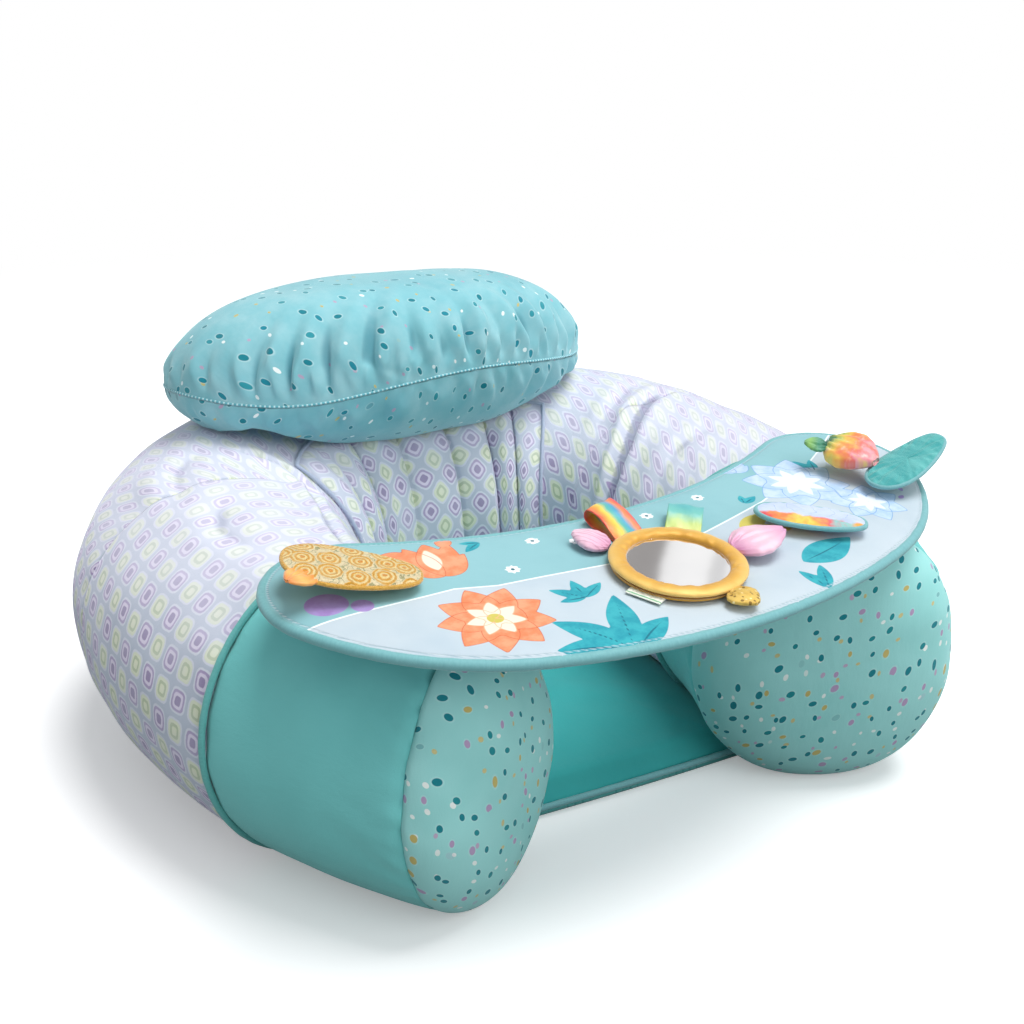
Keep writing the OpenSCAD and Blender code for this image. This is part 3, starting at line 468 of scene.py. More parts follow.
def lattice_cloth(name, turn=0.0, pitch=(0.0178, 0.0212), least=0.03):
    """Nested rounded squares, mauve and pale green in turn, on grey blue."""
    m = Shader(name, rough=0.88, sheen=0.75, sheen_tint="#f2f0ff")
    uv = m.uv()
    wobble = m.noise(uv, 55.0, 2.0, out="Color")
    shifted = m.node("VectorMath", {0: m.scaled(uv, 1.0, turn), 1: m.scaled(wobble, 0.0022)}, operation="ADD")
    x, y, _ = m.split(m.scaled(shifted, (1 / pitch[0], 1 / pitch[1], 1.0)))
    fx = m.from_middle(x)
    fy = m.from_middle(y)
    corner = 3.4
    px = m.power(m.absolute(fx), corner)
    py = m.power(m.absolute(fy), corner)
    d = m.power(m.add(px, py), 1 / corner)
    sum_ = m.add(m.math("FLOOR", x), m.math("FLOOR", y))
    odd = m.times(m.fract(m.times(sum_, 0.5)), 2.0)
    ink = m.noise(uv, 420.0, 2.0)
    d = m.add(d, m.times_plus(ink, 0.04, -0.02))
    mauve = m.ramp(d, [(0.0, MAUVE_DEEP), (0.15, MAUVE_DEEP), (0.18, "#e9dff2"), (0.26, "#e6daf0"),
                       (0.285, MAUVE), (0.345, MAUVE), (0.37, HALO), (0.415, HALO), (0.445, GROUND)])
    green = m.ramp(d, [(0.0, "#eff4d2"), (0.13, "#eaf1ca"), (0.16, "#bccd9c"), (0.235, "#c0cf9f"),
                       (0.26, "#e9f0cf"), (0.345, "#e4ecca"), (0.37, HALO), (0.415, HALO), (0.445, GROUND)])
    cloth = m.mix(odd, mauve, green)
    faded_and_top_lit = m.mix(m.step(m.noise(uv, 22.0, 3.0, 0.6), 0.4, 0.75, least, least + 0.25), cloth, "#dfe2f0")
    # Painted highlight: the print fades to pale lilac where the cloth faces up, as if lit from above.
    up = m.split(m.node("TexCoord", {}, "Normal"))[2]
    faded_and_top_lit = m.mix(m.step(up, 0.3, 0.95, 0.0, 0.5), faded_and_top_lit, "#e4e5f3")
    # Painted shade in the folds.
    m.colour(painted_fold_shade(m, faded_and_top_lit, "#6f7796"))
    return brushed(m, uv)


def ovals(m, flat, base, pitch, long, wide, colours, share=0.8, seed=0.0, halo=0.0):
    """Slanted printed ovals, one in a cell of a random flat lattice. Sizes are in metres."""
    moved = m.scaled(flat, 1.0, 0.0, (seed, seed * 1.7, 0))
    cells = m.cells(moved, pitch, 0.78)
    tone = m.split(cells["Color"])
    off = m.node("VectorMath", {0: moved, 1: cells["Position"]}, operation="SUBTRACT")
    angle = m.times_plus(tone[2], 1.5, 0.2)
    turned = m.node("VectorRotate", {"Vector": off, "Angle": angle}, rotation_type="Z_AXIS")
    size = m.times_plus(m.fract(m.times(tone[2], 7.0)), 0.45, 0.8)
    d = m.times(m.node("VectorMath", {0: m.scaled(turned, (1 / long, 1 / wide, 0.0))}, "Value",
                                  operation="LENGTH"), size)
    here = m.step(tone[1], share - 0.01, share + 0.01, 1.0, 0.0)
    ring = m.times(m.times(m.step(d, 1.0, 1.5, 1.0, 0.0), here), halo)
    base = m.mix(ring, base, "#e9f7f6")
    picked = m.ramp(tone[0], [(i / len(colours), c) for i, c in enumerate(colours)], "CONSTANT")
    return m.mix(m.times(m.step(d, 0.88, 1.02, 1.0, 0.0), here), base, picked)


INK = "#12808c"


def cap_cloth():
    """Aqua cloth, densely strewn with dark teal, mauve, mustard and white ovals."""
    m = Shader("cap_cloth", rough=0.84, sheen=0.3, sheen_tint="#d8ffff")
    uv = m.uv()
    base = shade(m, AQUA, AQUA_DARK, uv, 14.0, 0.5)
    base = ovals(m, uv, base, 0.0150, 0.0020, 0.0014, ["#eef5f0", "#c0acc6", "#e9f3ee", "#cfc58c"], 0.72, 3.7)
    base = ovals(m, uv, base, 0.0142, 0.0030, 0.0020, [INK, "#b59cc0", INK, "#1a8a92", "#c6b56c", INK], 0.76,
                 0.4, 0.2)
    m.colour(base)
    return brushed(m, uv)


def pillow_print():
    """Turquoise cloth with washed tones, sparse dark ovals in pale halos and small white ones."""
    m = Shader("pillow_cloth", rough=0.8, sheen=0.45, sheen_tint="#e8ffff")
    uv = m.uv()
    wash = m.step(m.noise(uv, 24.0, 4.0, 0.65), 0.35, 0.7)
    base = m.mix(wash, "#82c3cc", "#9dced5")
    base = shade(m, base, "#69b1bd", uv, 13.0, 0.6)
    base = ovals(m, uv, base, 0.0200, 0.0018, 0.0013, ["#eaf7f7", "#b9a6c0", "#f2f8f6", "#c9bd7c"], 0.72, 2.3)
    base = ovals(m, uv, base, 0.0215, 0.0031, 0.0020, ["#0c7f8e", "#14879a", "#2b93a0"], 0.86, 0.9, 0.3)
    # Painted shade in the folds.
    m.colour(painted_fold_shade(m, base, "#4f98a8", 0.6))
    return brushed(m, uv)


def plain_cloth(name, colour, dark, patches=8.0):
    """Brushed cloth of one colour, with slow darker patches."""
    m = Shader(name, rough=0.85, sheen=0.35, sheen_tint="#d5fffa")
    where = m.place()
    # Painted shade in the folds, over the slow darker patches.
    m.colour(painted_fold_shade(m, shade(m, colour, dark, where, patches, 0.45), "#3f7f80"))
    return brushed(m, where, 0.35)


def cord_cloth(name, colour, dark):
    """Bias-cut cloth round a piping cord, with its slanted grain."""
    m = Shader(name, rough=0.6, sheen=0.3)
    uv = m.uv()
    grain = m.noise(m.scaled(uv, (1.0, 0.4, 1.0), 45.0), 700.0, 2.0)
    m.colour(m.mix(grain, colour, dark))
    return m.finish(grain, 0.0003, 0.4)


def stitched_cord(name, colour, dark, thread, pitch=0.0042):
    """Narrow seam with a run of stitches."""
    m = Shader(name, rough=0.75, sheen=0.3)
    uv = m.uv()
    dash = m.step(m.wave(m.split(uv)[0], pitch), 0.15, 0.45)
    grain = m.noise(uv, 900.0, 2.0)
    m.colour(m.mix(m.times(dash, 0.75), m.mix(grain, colour, dark), thread))
    return m.finish(m.add(dash, grain), 0.0003, 0.5)


def webbing(name, colour, dark, rib=0.0011, stitch="#ffffff"):
    """Ribbed cotton tape with two rows of stitches across its length."""
    m = Shader(name, rough=0.8, sheen=0.25)
    uv = m.uv()
    x, y, _ = m.split(uv)
    ribs = m.wave(y, rib)
    weft = m.wave(x, rib * 1.6)
    base = m.mix(m.noise(uv, 500.0, 2.0), colour, dark)
    row = m.fract(m.times(y, 1 / 0.026))
    near = m.subtract(m.step(row, 0.10, 0.115), m.step(row, 0.14, 0.155))
    dash = m.step(m.wave(x, 0.003), -0.2, 0.1)
    m.colour(m.mix(m.times(m.times(near, dash), 0.8), base, stitch))
    return m.finish(m.times_plus(ribs, 0.6, m.times(weft, 0.4)), 0.0003, 0.6)


def satin(name, colours, across=False, span=0.03, rough=0.34, metal=0.0, lines=0.0):
    """Satin with bands of colour along its length or across it, and fine threads."""
    m = Shader(name, rough=rough, sheen=0.3, specular=0.5, metal=metal)
    uv = m.uv()
    x, y, _ = m.split(uv)
    wave = m.times_plus(m.noise(uv, 70.0, 2.0), 0.3, -0.15)
    at = m.add(m.times_plus(x if across else y, 1 / span, 0.5 if across else 0.0), wave)
    base = m.ramp(at, [(i / max(1, len(colours) - 1), c) for i, c in enumerate(colours)])
    if lines:
        fine = m.step(m.wave(m.add(x, m.times(wave, 0.01)), 0.0032), 0.55, 0.8, 0.0, lines)
        base = m.mix(fine, base, "#a8557f")
    m.colour(base)
    thread = m.noise(m.scaled(uv, (1.0, 0.12, 1.0)), 2600.0, 1.0)
    slow = m.noise(m.scaled(uv, (1.0, 0.4, 1.0)), 190.0, 2.0)
    return m.finish(slow, 0.0012, 0.35, m.bump(thread, 0.0002, 0.3))


def rings_plush():
    """Golden plush with concentric rings on cream, and grey-green marks between them."""
    m = Shader("gold_plush", rough=0.92, sheen=0.8, sheen_tint="#fff0c8")
    uv = m.uv()
    fuzz = m.noise(uv, 520.0, 3.0, 0.7, out="Color")
    bent = m.node("VectorMath", {0: uv, 1: m.scaled(fuzz, 0.0022)}, operation="ADD")
    d = m.cells(bent, 0.0158, 0.42)["Distance"]
    rings = m.ramp(d, [(0.0, "#e39425"), (0.09, "#e39425"), (0.12, "#f7dfa0"), (0.19, "#f6d98f"),
                       (0.215, "#dd9a2a"), (0.285, "#e6a637"), (0.31, "#f8e3ab"), (0.37, "#f6dc98"),
                       (0.395, "#d99a30"), (0.455, "#e0a63d"), (0.49, "#f3e2b4"), (0.56, "#efe0b8")])
    marks = m.step(m.absolute(m.subtract(m.noise(uv, 150.0, 2.0), 0.5)), 0.012, 0.03, 1.0, 0.0)
    outside = m.step(d, 0.47, 0.52)
    base = m.mix(m.times(m.times(marks, outside), 0.8), rings, "#8b9468")
    m.colour(m.mix(m.step(m.noise(uv, 900.0, 2.0), 0.45, 0.7, 0.0, 0.22), base, "#b9822a"))
    pile = m.noise(uv, 1100.0, 3.0, 0.7)
    raised = m.times_plus(m.sine(m.times(d, 30.0)), 0.5, pile)
    return m.finish(raised, 0.0012, 0.8)


def velvet():
    m = Shader("teal_velvet", rough=0.9, sheen=1.0, sheen_tint="#bff5ee")
    uv = m.uv()
    stroke = m.noise(m.scaled(uv, (1.0, 0.35, 1.0), 20.0), 90.0, 3.0, 0.6)
    m.colour(m.mix(m.step(stroke, 0.35, 0.68), "#3fa3a4", "#6cc3c0"))
    pile = m.noise(uv, 1700.0, 2.0, 0.6)
    return m.finish(m.times_plus(stroke, 0.9, pile), 0.0010, 0.6)


def tie_dye():
    """Streaks of dye that run into one another across the satin."""
    m = Shader("tie_dye_satin", rough=0.45, sheen=0.5, sheen_tint="#fff0e0", specular=0.5)
    uv = m.uv()
    x, y, _ = m.split(uv)
    drift = m.noise(m.scaled(uv, (1.0, 0.55, 1.0), 25.0), 75.0, 3.0, 0.6)
    at = m.add(m.times_plus(y, 15.0, 0.02), m.times_plus(drift, 1.05, -0.42))
    base = m.ramp(at, [(0.0, "#2f6f57"), (0.10, "#3b8a62"), (0.20, "#cfd267"), (0.32, "#f6c85a"),
                       (0.44, "#f29a4e"), (0.56, "#ee6a5c"), (0.68, "#f39aa6"), (0.80, "#f7d27a"),
                       (0.92, "#9fd3c9"), (1.0, "#f2b2c4")])
    m.colour(m.mix(m.step(m.noise(uv, 160.0, 2.0), 0.5, 0.75, 0.0, 0.45), base, "#fdf3e0"))
    return m.finish(m.noise(m.scaled(uv, (1.0, 0.2, 1.0)), 1200.0, 2.0), 0.0004, 0.4)


def petal_cloth():
    """Pale lilac blue, with soft rainbow patches along one side and drawn blue veins."""
    m = Shader("petal_cloth", rough=0.7, sheen=0.3)
    uv = m.uv()
    x, y, _ = m.split(uv)
    pale = shade(m, "#c9d6ee", "#b5c6e4", uv, 60.0, 0.6)
    vein = m.absolute(m.sine(m.add(m.times(x, 240.0), m.times(m.noise(uv, 60.0, 1.0), 6.0))))
    pale = m.mix(m.times(m.step(vein, 0.03, 0.10, 0.65, 0.0), m.step(y, -0.004, 0.0)), pale, "#7fa4cf")
    drift = m.times_plus(m.noise(uv, 85.0, 2.0), 0.8, -0.4)
    dye = m.ramp(m.add(m.times_plus(x, 14.0, 0.5), drift),
                 [(0.0, "#e7515a"), (0.2, "#f08a4b"), (0.38, "#f8d45a"), (0.52, "#f6b24d"), (0.68, "#e8606a"),
                  (0.84, "#8fc7c4"), (1.0, "#f3a53f")])
    edge = m.add(y, m.times_plus(m.noise(uv, 110.0, 2.0), 0.012, -0.006))
    m.colour(m.mix(m.step(edge, -0.0085, -0.0045, 1.0, 0.0), pale, dye))
    return brushed(m, uv)


def gold_speckled():
    m = Shader("gold_speckled", rough=0.5, sheen=0.5, sheen_tint="#ffe9b0", metal=0.2)
    uv = m.uv()
    base = shade(m, "#dcb95e", "#bf9238", uv, 140.0, 0.7)
    m.colour(ovals(m, uv, base, 0.0034, 0.0009, 0.0007, ["#8a6a2c", "#f3e2a6", "#a8802f"], 0.85, 0.2))
    return brushed(m, uv, 0.5)


def crinkle():
    m = Shader("crinkle_cloth", rough=0.55, sheen=0.1)
    uv = m.uv()
    x, y, _ = m.split(uv)
    edge = m.step(m.absolute(y), 0.0038, 0.0044)
    lines = m.times(edge, m.step(m.absolute(y), 0.0050, 0.0054, 1.0, 0.0))
    m.colour(m.mix(lines, shade(m, "#eef1e6", "#dfe4d6", uv, 160.0, 0.6), "#78b58a"))
    return m.finish(m.grains(uv, 420.0), 0.0008, 0.5)


def film():
    """Safety mirror: silvered film that is not quite flat."""
    m = Shader("mirror_film", rough=0.055, metal=1.0)
    uv = m.uv()
    m.colour(m.mix(m.noise(uv, 30.0, 2.0), "#f8f7f7", "#f0f0f1"))
    return m.finish(m.noise(uv, 40.0, 1.0), 0.0010, 0.025)


def pile(name, colour, dark, scale, depth):
    """Touch-fastening cloth: loops or hooks as a dense uneven pile."""
    m = Shader(name, rough=0.95, sheen=0.6)
    where = m.place()
    grain = m.grains(where, scale)
    m.colour(m.mix(m.noise(where, scale * 0.8, 2.0), colour, dark))
    return m.finish(grain, depth, 0.8)


def dotted_cloth():
    """Non-woven bottom cloth with a grid of welded dots."""
    m = Shader("bottom_cloth", rough=0.85, sheen=0.2)
    uv = m.uv()
    x, y, _ = m.split(m.scaled(uv, 1 / 0.0045, 45.0))
    fx = m.from_middle(x)
    fy = m.from_middle(y)
    d = m.node("VectorMath", {0: m.node("CombineXYZ", {"X": fx, "Y": fy})}, "Value", operation="LENGTH")
    dot = m.step(d, 0.16, 0.28, 1.0, 0.0)
    base = shade(m, "#57a8a5", "#3f8f8d", uv, 7.0, 0.5)
    m.colour(m.mix(m.times(dot, 0.35), base, "#2c7675"))
    return m.finish(m.times(dot, -1.0), 0.0006, 0.6)


def smooth_part(name, colour, dark, rough, metal=0.0, scale=600.0, coat=0.0, depth=0.0002):
    """Moulded or cast small part with a faint texture and rubbed places."""
    m = Shader(name, rough=rough, metal=metal, coat=coat, specular=0.5)
    where = m.place()
    m.colour(m.mix(m.step(m.noise(where, scale * 0.3, 3.0), 0.4, 0.7), colour, dark))
    return m.finish(m.noise(where, scale, 2.0), depth, 0.4)


MAUVE, MAUVE_DEEP, HALO, GROUND = "#a893c0", "#9079aa", "#dfe4ee", "#b9c5d4"
AQUA, AQUA_DARK = "#a0dedb", "#8cd1ce"
LILAC = lattice_cloth("lattice_cloth", least=0.12)
# The inner panel's cloth is turned and finer, and faded further to pale: a lighter copy that stands in for
# the light on the panel's face.
LILAC_TURNED = lattice_cloth("lattice_cloth_inner", 45.0, (0.0172, 0.0172), 0.22)
TEAL = plain_cloth("teal_cloth", "#7cd2d0", "#69c0be")
CAP = cap_cloth()
PILLOW = pillow_print()
PILLOW_CORD = stitched_cord("pillow_seam", "#6fbcc8", "#57a6b3", "#d5f0f2", 0.0036)
TEAL_CORD = cord_cloth("teal_piping", "#74c4c0", "#5caaa7")
AQUA_CORD = cord_cloth("aqua_piping", "#83bcbf", "#69a7ac")
PALE_CORD = cord_cloth("pale_piping", "#bcc6da", "#a8b4cb")
SEAT = plain_cloth("seat_cloth", "#3aa9a8", "#2a9192", patches=5.0)
WEBBING_LILAC = webbing("lilac_webbing", "#c9c4dd", "#b3aecb")
WEBBING_TEAL = webbing("teal_webbing", "#63b4af", "#4c9b98")
WEBBING_AQUA = webbing("aqua_webbing", "#93cbd3", "#7ab5bf")
GOLD_SATIN = satin("gold_satin", ["#d59c31", "#e4b44c", "#eec56c", "#dca93f", "#cf962e"], span=0.026,
                   rough=0.48, metal=0.15)
GOLD_PLAIN = satin("gold_backing", ["#cf9c35", "#dcae4a", "#cf9c35"], span=0.05, rough=0.6)
RAINBOW = satin("rainbow_satin",
                ["#e9553f", "#f39a3d", "#f6d64f", "#52b7a6", "#3f9fc4", "#f2894a", "#e24f59"],
                across=True, span=0.026)
LOOP_SATIN = satin("loop_satin",
                   ["#d4d86a", "#b9d270", "#6fc0b4", "#58b3b6", "#6ec3c4", "#5bb0b0", "#a9cf7a", "#d8dc72"],
                   span=0.062)
PINK = satin("pink_satin", ["#d795bb", "#eebcd2", "#f4cbd9", "#e7adc9", "#cf93bd"], span=0.042, rough=0.4)
PINK_LINED = satin("pink_lined", ["#dd9fbf", "#f0c3d6", "#f3cddc"], span=0.028, rough=0.5, lines=0.35)
ORANGE_SATIN = satin("orange_satin", ["#d9762f", "#ef9a45", "#f4b463", "#e0853a"], span=0.024, rough=0.4)
GREEN_SATIN = satin("green_satin", ["#1f6b58", "#3c8f6d", "#8bbf63", "#2f7d66"], span=0.02, rough=0.45)
GOLD_SPECKLED = gold_speckled()
CRINKLE = crinkle()
MIRROR_FILM = film()
GOLD_PLUSH = rings_plush()
GOLD_EDGE = pile("gold_overlock", "#e3b65a", "#c08a2c", 900.0, 0.0008)
VELVET = velvet()
TIE_DYE = tie_dye()
PETAL_CLOTH = petal_cloth()
PILE = pile("loop_pile", "#8fd0cd", "#6db6b4", 1300.0, 0.0008)
HOOKS = pile("hook_tape", "#dbe7ee", "#b7c9d6", 1000.0, 0.0006)
BOTTOM = dotted_cloth()
ZIP_CLOTH = webbing("zip_cloth", "#4d9f9c", "#3b8785", 0.0007, "#3b8785")
CHAMBER = smooth_part("chamber_film", "#c9dbe6", "#b6cbd9", 0.3, scale=240.0, coat=0.3)
VALVE = smooth_part("valve_plastic", "#eef0f1", "#dde1e4", 0.45)
COIL = smooth_part("coil_plastic", "#d6e8e8", "#bfd6d6", 0.4, scale=900.0, depth=0.0004)
SLIDER = smooth_part("slider_metal", "#c9ccd0", "#a9adb3", 0.32, metal=1.0, scale=1400.0)
FIBRE = pile("fibre", "#f2f3f4", "#dde0e3", 300.0, 0.0015)

# ---------------------------------------------------------------- ring cover
AROUND = 276
ROUND = -90 + np.arange(AROUND) * 360 / AROUND
STEP = 2.4
DEEPEST, PROUDEST = -3.5, 7.0


def path_length(s, a, origin):
    """Length along the cloth at angle a from path length origin to s."""
    fine = np.linspace(min(s.min(), origin), max(s.max(), origin), 400)
    i = arc_of(np.abs(fine))
    ratio = 1 - half_w(fine)[:, None] * spow(np.cos(np.radians(a)), 0.95)[None] / np.array(ARC_R)[i][:, None]
    steps = (ratio[1:] + ratio[:-1]) / 2 * np.diff(fine)[:, None]
    total = np.concatenate([np.zeros((1, len(a))), np.cumsum(steps, 0)])
    return np.array([np.interp(s, fine, row) - np.interp(origin, fine, row) for row in total.T]).T


def round_length(p, top):
    """Length round each ring of points from the point at index top."""
    step = np.linalg.norm(np.diff(p, axis=1, append=p[:, :1]), axis=2)
    total = np.concatenate([np.zeros((len(p), 1)), np.cumsum(step, 1)[:, :-1]], 1)
    return total - total[:, top:top + 1]


def path_sum(line):
    """Length of a line of points."""
    return float(np.linalg.norm(np.diff(line, axis=0), axis=1).sum())


def seam_dip(away, depth=2.2, width=4.0):
    return -depth * np.exp(-(away / width) ** 2)


def fold_layer(off, full=3.5):
    """How deep in a fold each point of an outer skin lies, which sets the painted shade in folds, and nothing
    for the inner one.
    """
    deep = (-off / full).clip(0, 1).ravel()
    return {"fold": np.concatenate([deep, 0 * deep])}


def sleeve(where, s_from, s_to, relief, material, slot, origin):
    """Stretch of the ring's cover: a fine outer skin with its folds and a plain inner one."""
    s = np.linspace(s_from, s_to, max(4, round((s_to - s_from) / STEP)))
    at, a = np.meshgrid(s, ROUND, indexing="ij")
    along, around = path_length(s, ROUND, origin), round_length(tube(at, a), AROUND // 2)
    off = (relief(at, a, along, around) * pressed(a)).clip(DEEPEST, PROUDEST)
    outer, inner = tube(at, a, off, 0.3), tube(at, a, -COVER_T, COVER_T)
    n = len(s) * AROUND
    faces = grid_faces(len(s), AROUND, close_v=True)
    faces += grid_faces(len(s), AROUND, n, close_v=True, flip=True)
    ring = np.arange(AROUND)
    faces += band(ring, ring + n)
    faces += band(ring + n - AROUND, ring + 2 * n - AROUND, flip=True)
    uv = np.stack([along * MM, around * MM], -1).reshape(-1, 2)
    points = np.concatenate([outer.reshape(-1, 3), inner.reshape(-1, 3)])
    dress(make(f"cover_{where}_cloth", points, faces, material, "seat", uv=np.concatenate([uv, uv]),
               extra=fold_layer(off)),
          slot, "cover_" + where, fill=1.0)


def pressed(a):
    """How much of the folds at angle a the floor leaves, from all above it to little below."""
    return 1 - 0.85 * np.clip(-1.15 * np.sin(np.radians(a)), 0, 1)


def soft_swell(along, around, seed, size=70.0, amount=1.6):
    """Slow unevenness of an inflated cloth tube."""
    pick = np.random.default_rng(seed)
    total = 0
    for _ in range(7):
        k, t = pick.uniform(0.5, 1.4) / size, pick.uniform(0, math.tau)
        total = total + np.sin(math.tau * k * (along * math.cos(t) + around * math.sin(t))
                               + pick.uniform(0, 9))
    return amount * total / 7


# Folds where the tube bends: (path length, degrees round the section) points, depth and width
MM_PER_DEGREE = 1.95
FOLDS = [
    ([(-236, 76), (-252, 62), (-287, 54), (-345, 56), (-372, 60), (-425, 68)], 9.0, 5.0),
    ([(-232, 96), (-262, 104), (-300, 108)], 3.0, 9.0),
    ([(-330, 96), (-362, 104), (-398, 102)], 2.6, 9.0),
    ([(284, 90), (300, 72), (324, 52), (338, 34), (346, 14)], 8.0, 6.0),
    ([(250, 96), (268, 74), (276, 56)], 3.0, 8.0),
    ([(372, 84), (380, 62), (392, 44)], 2.4, 8.0),
]


def main_folds(s, a):
    lines = [([(p, q * MM_PER_DEGREE) for p, q in points], depth, width) for points, depth, width in FOLDS]
    return creases(s, a * MM_PER_DEGREE, lines)


def back_relief(s, a, along, around):
    edge = BACK_SEAM - np.abs(s)
    return (soft_swell(along, around, 3) + seam_dip(edge, 0.5, 2.0) + main_folds(s, a)
            + wrinkles(around, edge, 34, 1.0, 34, 5))


def side_relief(s, a, along, around):
    k = by_side(s, ARM_SEAMS)
    return (soft_swell(along, around, 4) + seam_dip(np.abs(s) - BACK_SEAM, 0.5, 2.0) + seam_dip(k - np.abs(s))
            + main_folds(s, a) + wrinkles(around, k - np.abs(s), 30, 1.6, 30, 6))


def arm_relief(s, a, along, around):
    k = by_side(s, ARM_SEAMS)
    to_side, to_end = np.abs(s) - k, S3 - np.abs(s)
    folds = (soft_swell(along, around, 7, 60, 1.8) + seam_dip(to_side) + seam_dip(to_end, 2.2, 3.5)
             + wrinkles(around, to_end, 15, 1.1, 26, 8) + wrinkles(around, to_side, 30, 0.6, 24, 9))
    patch = np.clip((70 - np.hypot(np.abs(s) - 491, (a - 90) * 2)) / 25, 0, 1)
    return folds * (1 - patch)


for row in (("back", -BACK_SEAM, BACK_SEAM, back_relief, LILAC, "lilac_cloth", 0.0),
            ("side_left", -ARM_SEAMS[0], -BACK_SEAM, side_relief, LILAC, "lilac_cloth", -370.0),
            ("side_right", BACK_SEAM, ARM_SEAMS[1], side_relief, LILAC, "lilac_cloth", 0.0),
            ("arm_left", -S3, -ARM_SEAMS[0], arm_relief, TEAL, "teal_cloth", -S3),
            ("arm_right", ARM_SEAMS[1], S3, arm_relief, TEAL, "teal_cloth", S3)):
    sleeve(*row)


def arm_end(side, name):
    """Domed cup that closes an arm, gathered a little at its seam."""
    over = np.concatenate([np.linspace(0, 84, 46), [87, 89]])
    a, bulge = ROUND, BULGES[side > 0]
    away, around = np.meshgrid(np.radians(over) * (bulge * 0.5 + 45), np.radians(a + 90) * 98, indexing="ij")
    relief = (seam_dip(away, 2.2, 3.5) + wrinkles(around, away, 30, 0.6, 26, 20 + side)
              + soft_swell(away, around, 31 + side, 60, 1.2))
    relief = relief * (1 - (over / 90)[:, None] ** 4) * pressed(a)
    grids = [tube(side * S3, a[None], grow, low, over[:, None]).reshape(-1, 3)
             for grow, low in ((np.minimum(relief, 6), 0.3), (-COVER_T, COVER_T))]
    poles = [tube(side * S3, 0.0, g, 0.0, 90.0)[None] for g in (0.0, -COVER_T)]
    rows, n = len(over), len(over) * AROUND
    ring = np.arange(AROUND)
    flip = side < 0
    faces = grid_faces(rows, AROUND, close_v=True, flip=flip)
    faces += grid_faces(rows, AROUND, n, close_v=True, flip=not flip)
    faces += band(ring, ring + n, flip=flip)
    last = (rows - 1) * AROUND
    for start, pole, turn in ((last, 2 * n, flip), (n + last, 2 * n + 1, not flip)):
        tris = [[start + k, pole, start + (k + 1) % AROUND] for k in range(AROUND)]
        faces += [t[::-1] for t in tris] if turn else tris
    plain = tube(side * S3, a[None], 0.0, 0.3, over[:, None])
    tip = tube(side * S3, 0.0, 0.0, 0.0, 90.0)[None, None] + 0 * plain[:1]
    step = np.linalg.norm(np.diff(plain, axis=0, append=tip), axis=2)
    far = np.cumsum(step[::-1], 0)[::-1]
    turn = np.radians(a)[None]
    flat = np.stack([far * np.cos(turn) * MM, far * np.sin(turn) * MM], -1).reshape(-1, 2)
    uv = np.concatenate([flat, flat, np.zeros((2, 2))])
    dress(make(f"arm_end_{name}_cloth", np.concatenate(grids + poles), faces, CAP, "seat", uv=uv),
          "speckled_cloth", "arm_end_" + name, fill=1.0)


for side, name in SIDES:
    arm_end(side, name)
for side, name in SIDES:
    seam = side * ARM_SEAMS[side > 0]
    line = tube(seam, side * np.arange(240) * 1.5, 0.6, PIPING_R * 1.06)
    dress(cord_mesh(f"seam_piping_{name}_cord", line, PIPING_R, TEAL_CORD, "seat", up=(side, 0.3, 0),
                    wobble=0.05),
          "teal_piping", "seam_piping_" + name)

# ---------------------------------------------------------------- backrest panel
PANEL_TOPS, PANEL_FLARE, PANEL_T = (238.0, 182.0), 88.0, 13.0
PANEL_A = (-38.0, 58.0)
PANEL_CLEAR = 0.9
CHANNELS = 7
PANEL_GRID, PANEL_FLAT = (301, 91), (250, 95)


def panel_a(v):
    return sum(PANEL_A) / 2 + v * (PANEL_A[1] - PANEL_A[0]) / 2


def panel_half(u, a):
    return by_side(u, PANEL_TOPS) + PANEL_FLARE * (PANEL_A[1] - a) / (PANEL_A[1] - PANEL_A[0])


def panel_at(u, v, grow):
    """Point of the quilted panel at u across and v up, both from -1 to 1."""
    a = panel_a(v)
    return tube(u * panel_half(u, a), a, grow)


def panel_pad(u, v):
    edge = (1 - np.abs(u) ** 8) * (1 - np.abs(v) ** 6)
    channel = np.abs(np.sin((u + 1) * math.pi / 2 * CHANNELS)) ** 0.5
    return 2 + (PANEL_T - 2) * edge * (0.35 + 0.65 * channel)


def panel():
    u, v = np.meshgrid(*(np.linspace(-1, 1, n) for n in PANEL_GRID), indexing="ij")
    a = panel_a(v)
    half_x, half_y = PANEL_FLAT
    flat_x, flat_y = u * half_x, v * half_y
    seam = (u + 1) / 2 * CHANNELS
    relief = (wrinkles(flat_x, half_y - flat_y, 26, 2.4, 60, 12, 0.5)
              + wrinkles(flat_x, half_y + flat_y, 30, 1.8, 40, 13, 0.5)
              - 2.6 * np.exp(-((seam - np.round(seam)) * 2 * half_x / CHANNELS / 2.2) ** 2))
    edge = (1 - np.abs(u) ** 8) * (1 - np.abs(v) ** 6)
    pad = panel_pad(u, v) + relief * edge
    front = panel_at(u, v, PANEL_CLEAR + np.maximum(pad, 1.2))
    flat = u * panel_half(u, a) * 0.62, np.radians(a) * 112
    points, faces, uv = skins((front, panel_at(u, v, PANEL_CLEAR), *flat))
    dress(make("backrest_cloth", points, faces, LILAC_TURNED, "seat", uv=uv,
               extra=fold_layer(pad - 6.5, 5.0)),
          "lilac_cloth", "backrest_panel", fill=0.7)


panel()
lift = PANEL_CLEAR + PIPING_R
steps = np.linspace(-1, 1, 120, endpoint=False)
line = np.concatenate([panel_at(steps, -1.0, lift), panel_at(1.0, steps, lift),
                       panel_at(-steps, 1.0, lift), panel_at(-1.0, -steps, lift)])
dress(cord_mesh("backrest_piping_cord", line, 1.6, PALE_CORD, "seat", up=(0.1, -1, 0.35), wobble=0.05),
      "aqua_piping", "backrest_piping")

# ---------------------------------------------------------------- base
BOTTOM_T, PAD_SIDE, PAD_CROWN = 4.0, 24.0, 34.0
BASE_GAP, BASE_BOW = 1.2, 3.0
BASE_ENDS = (S3 - 52, S3 - 20)


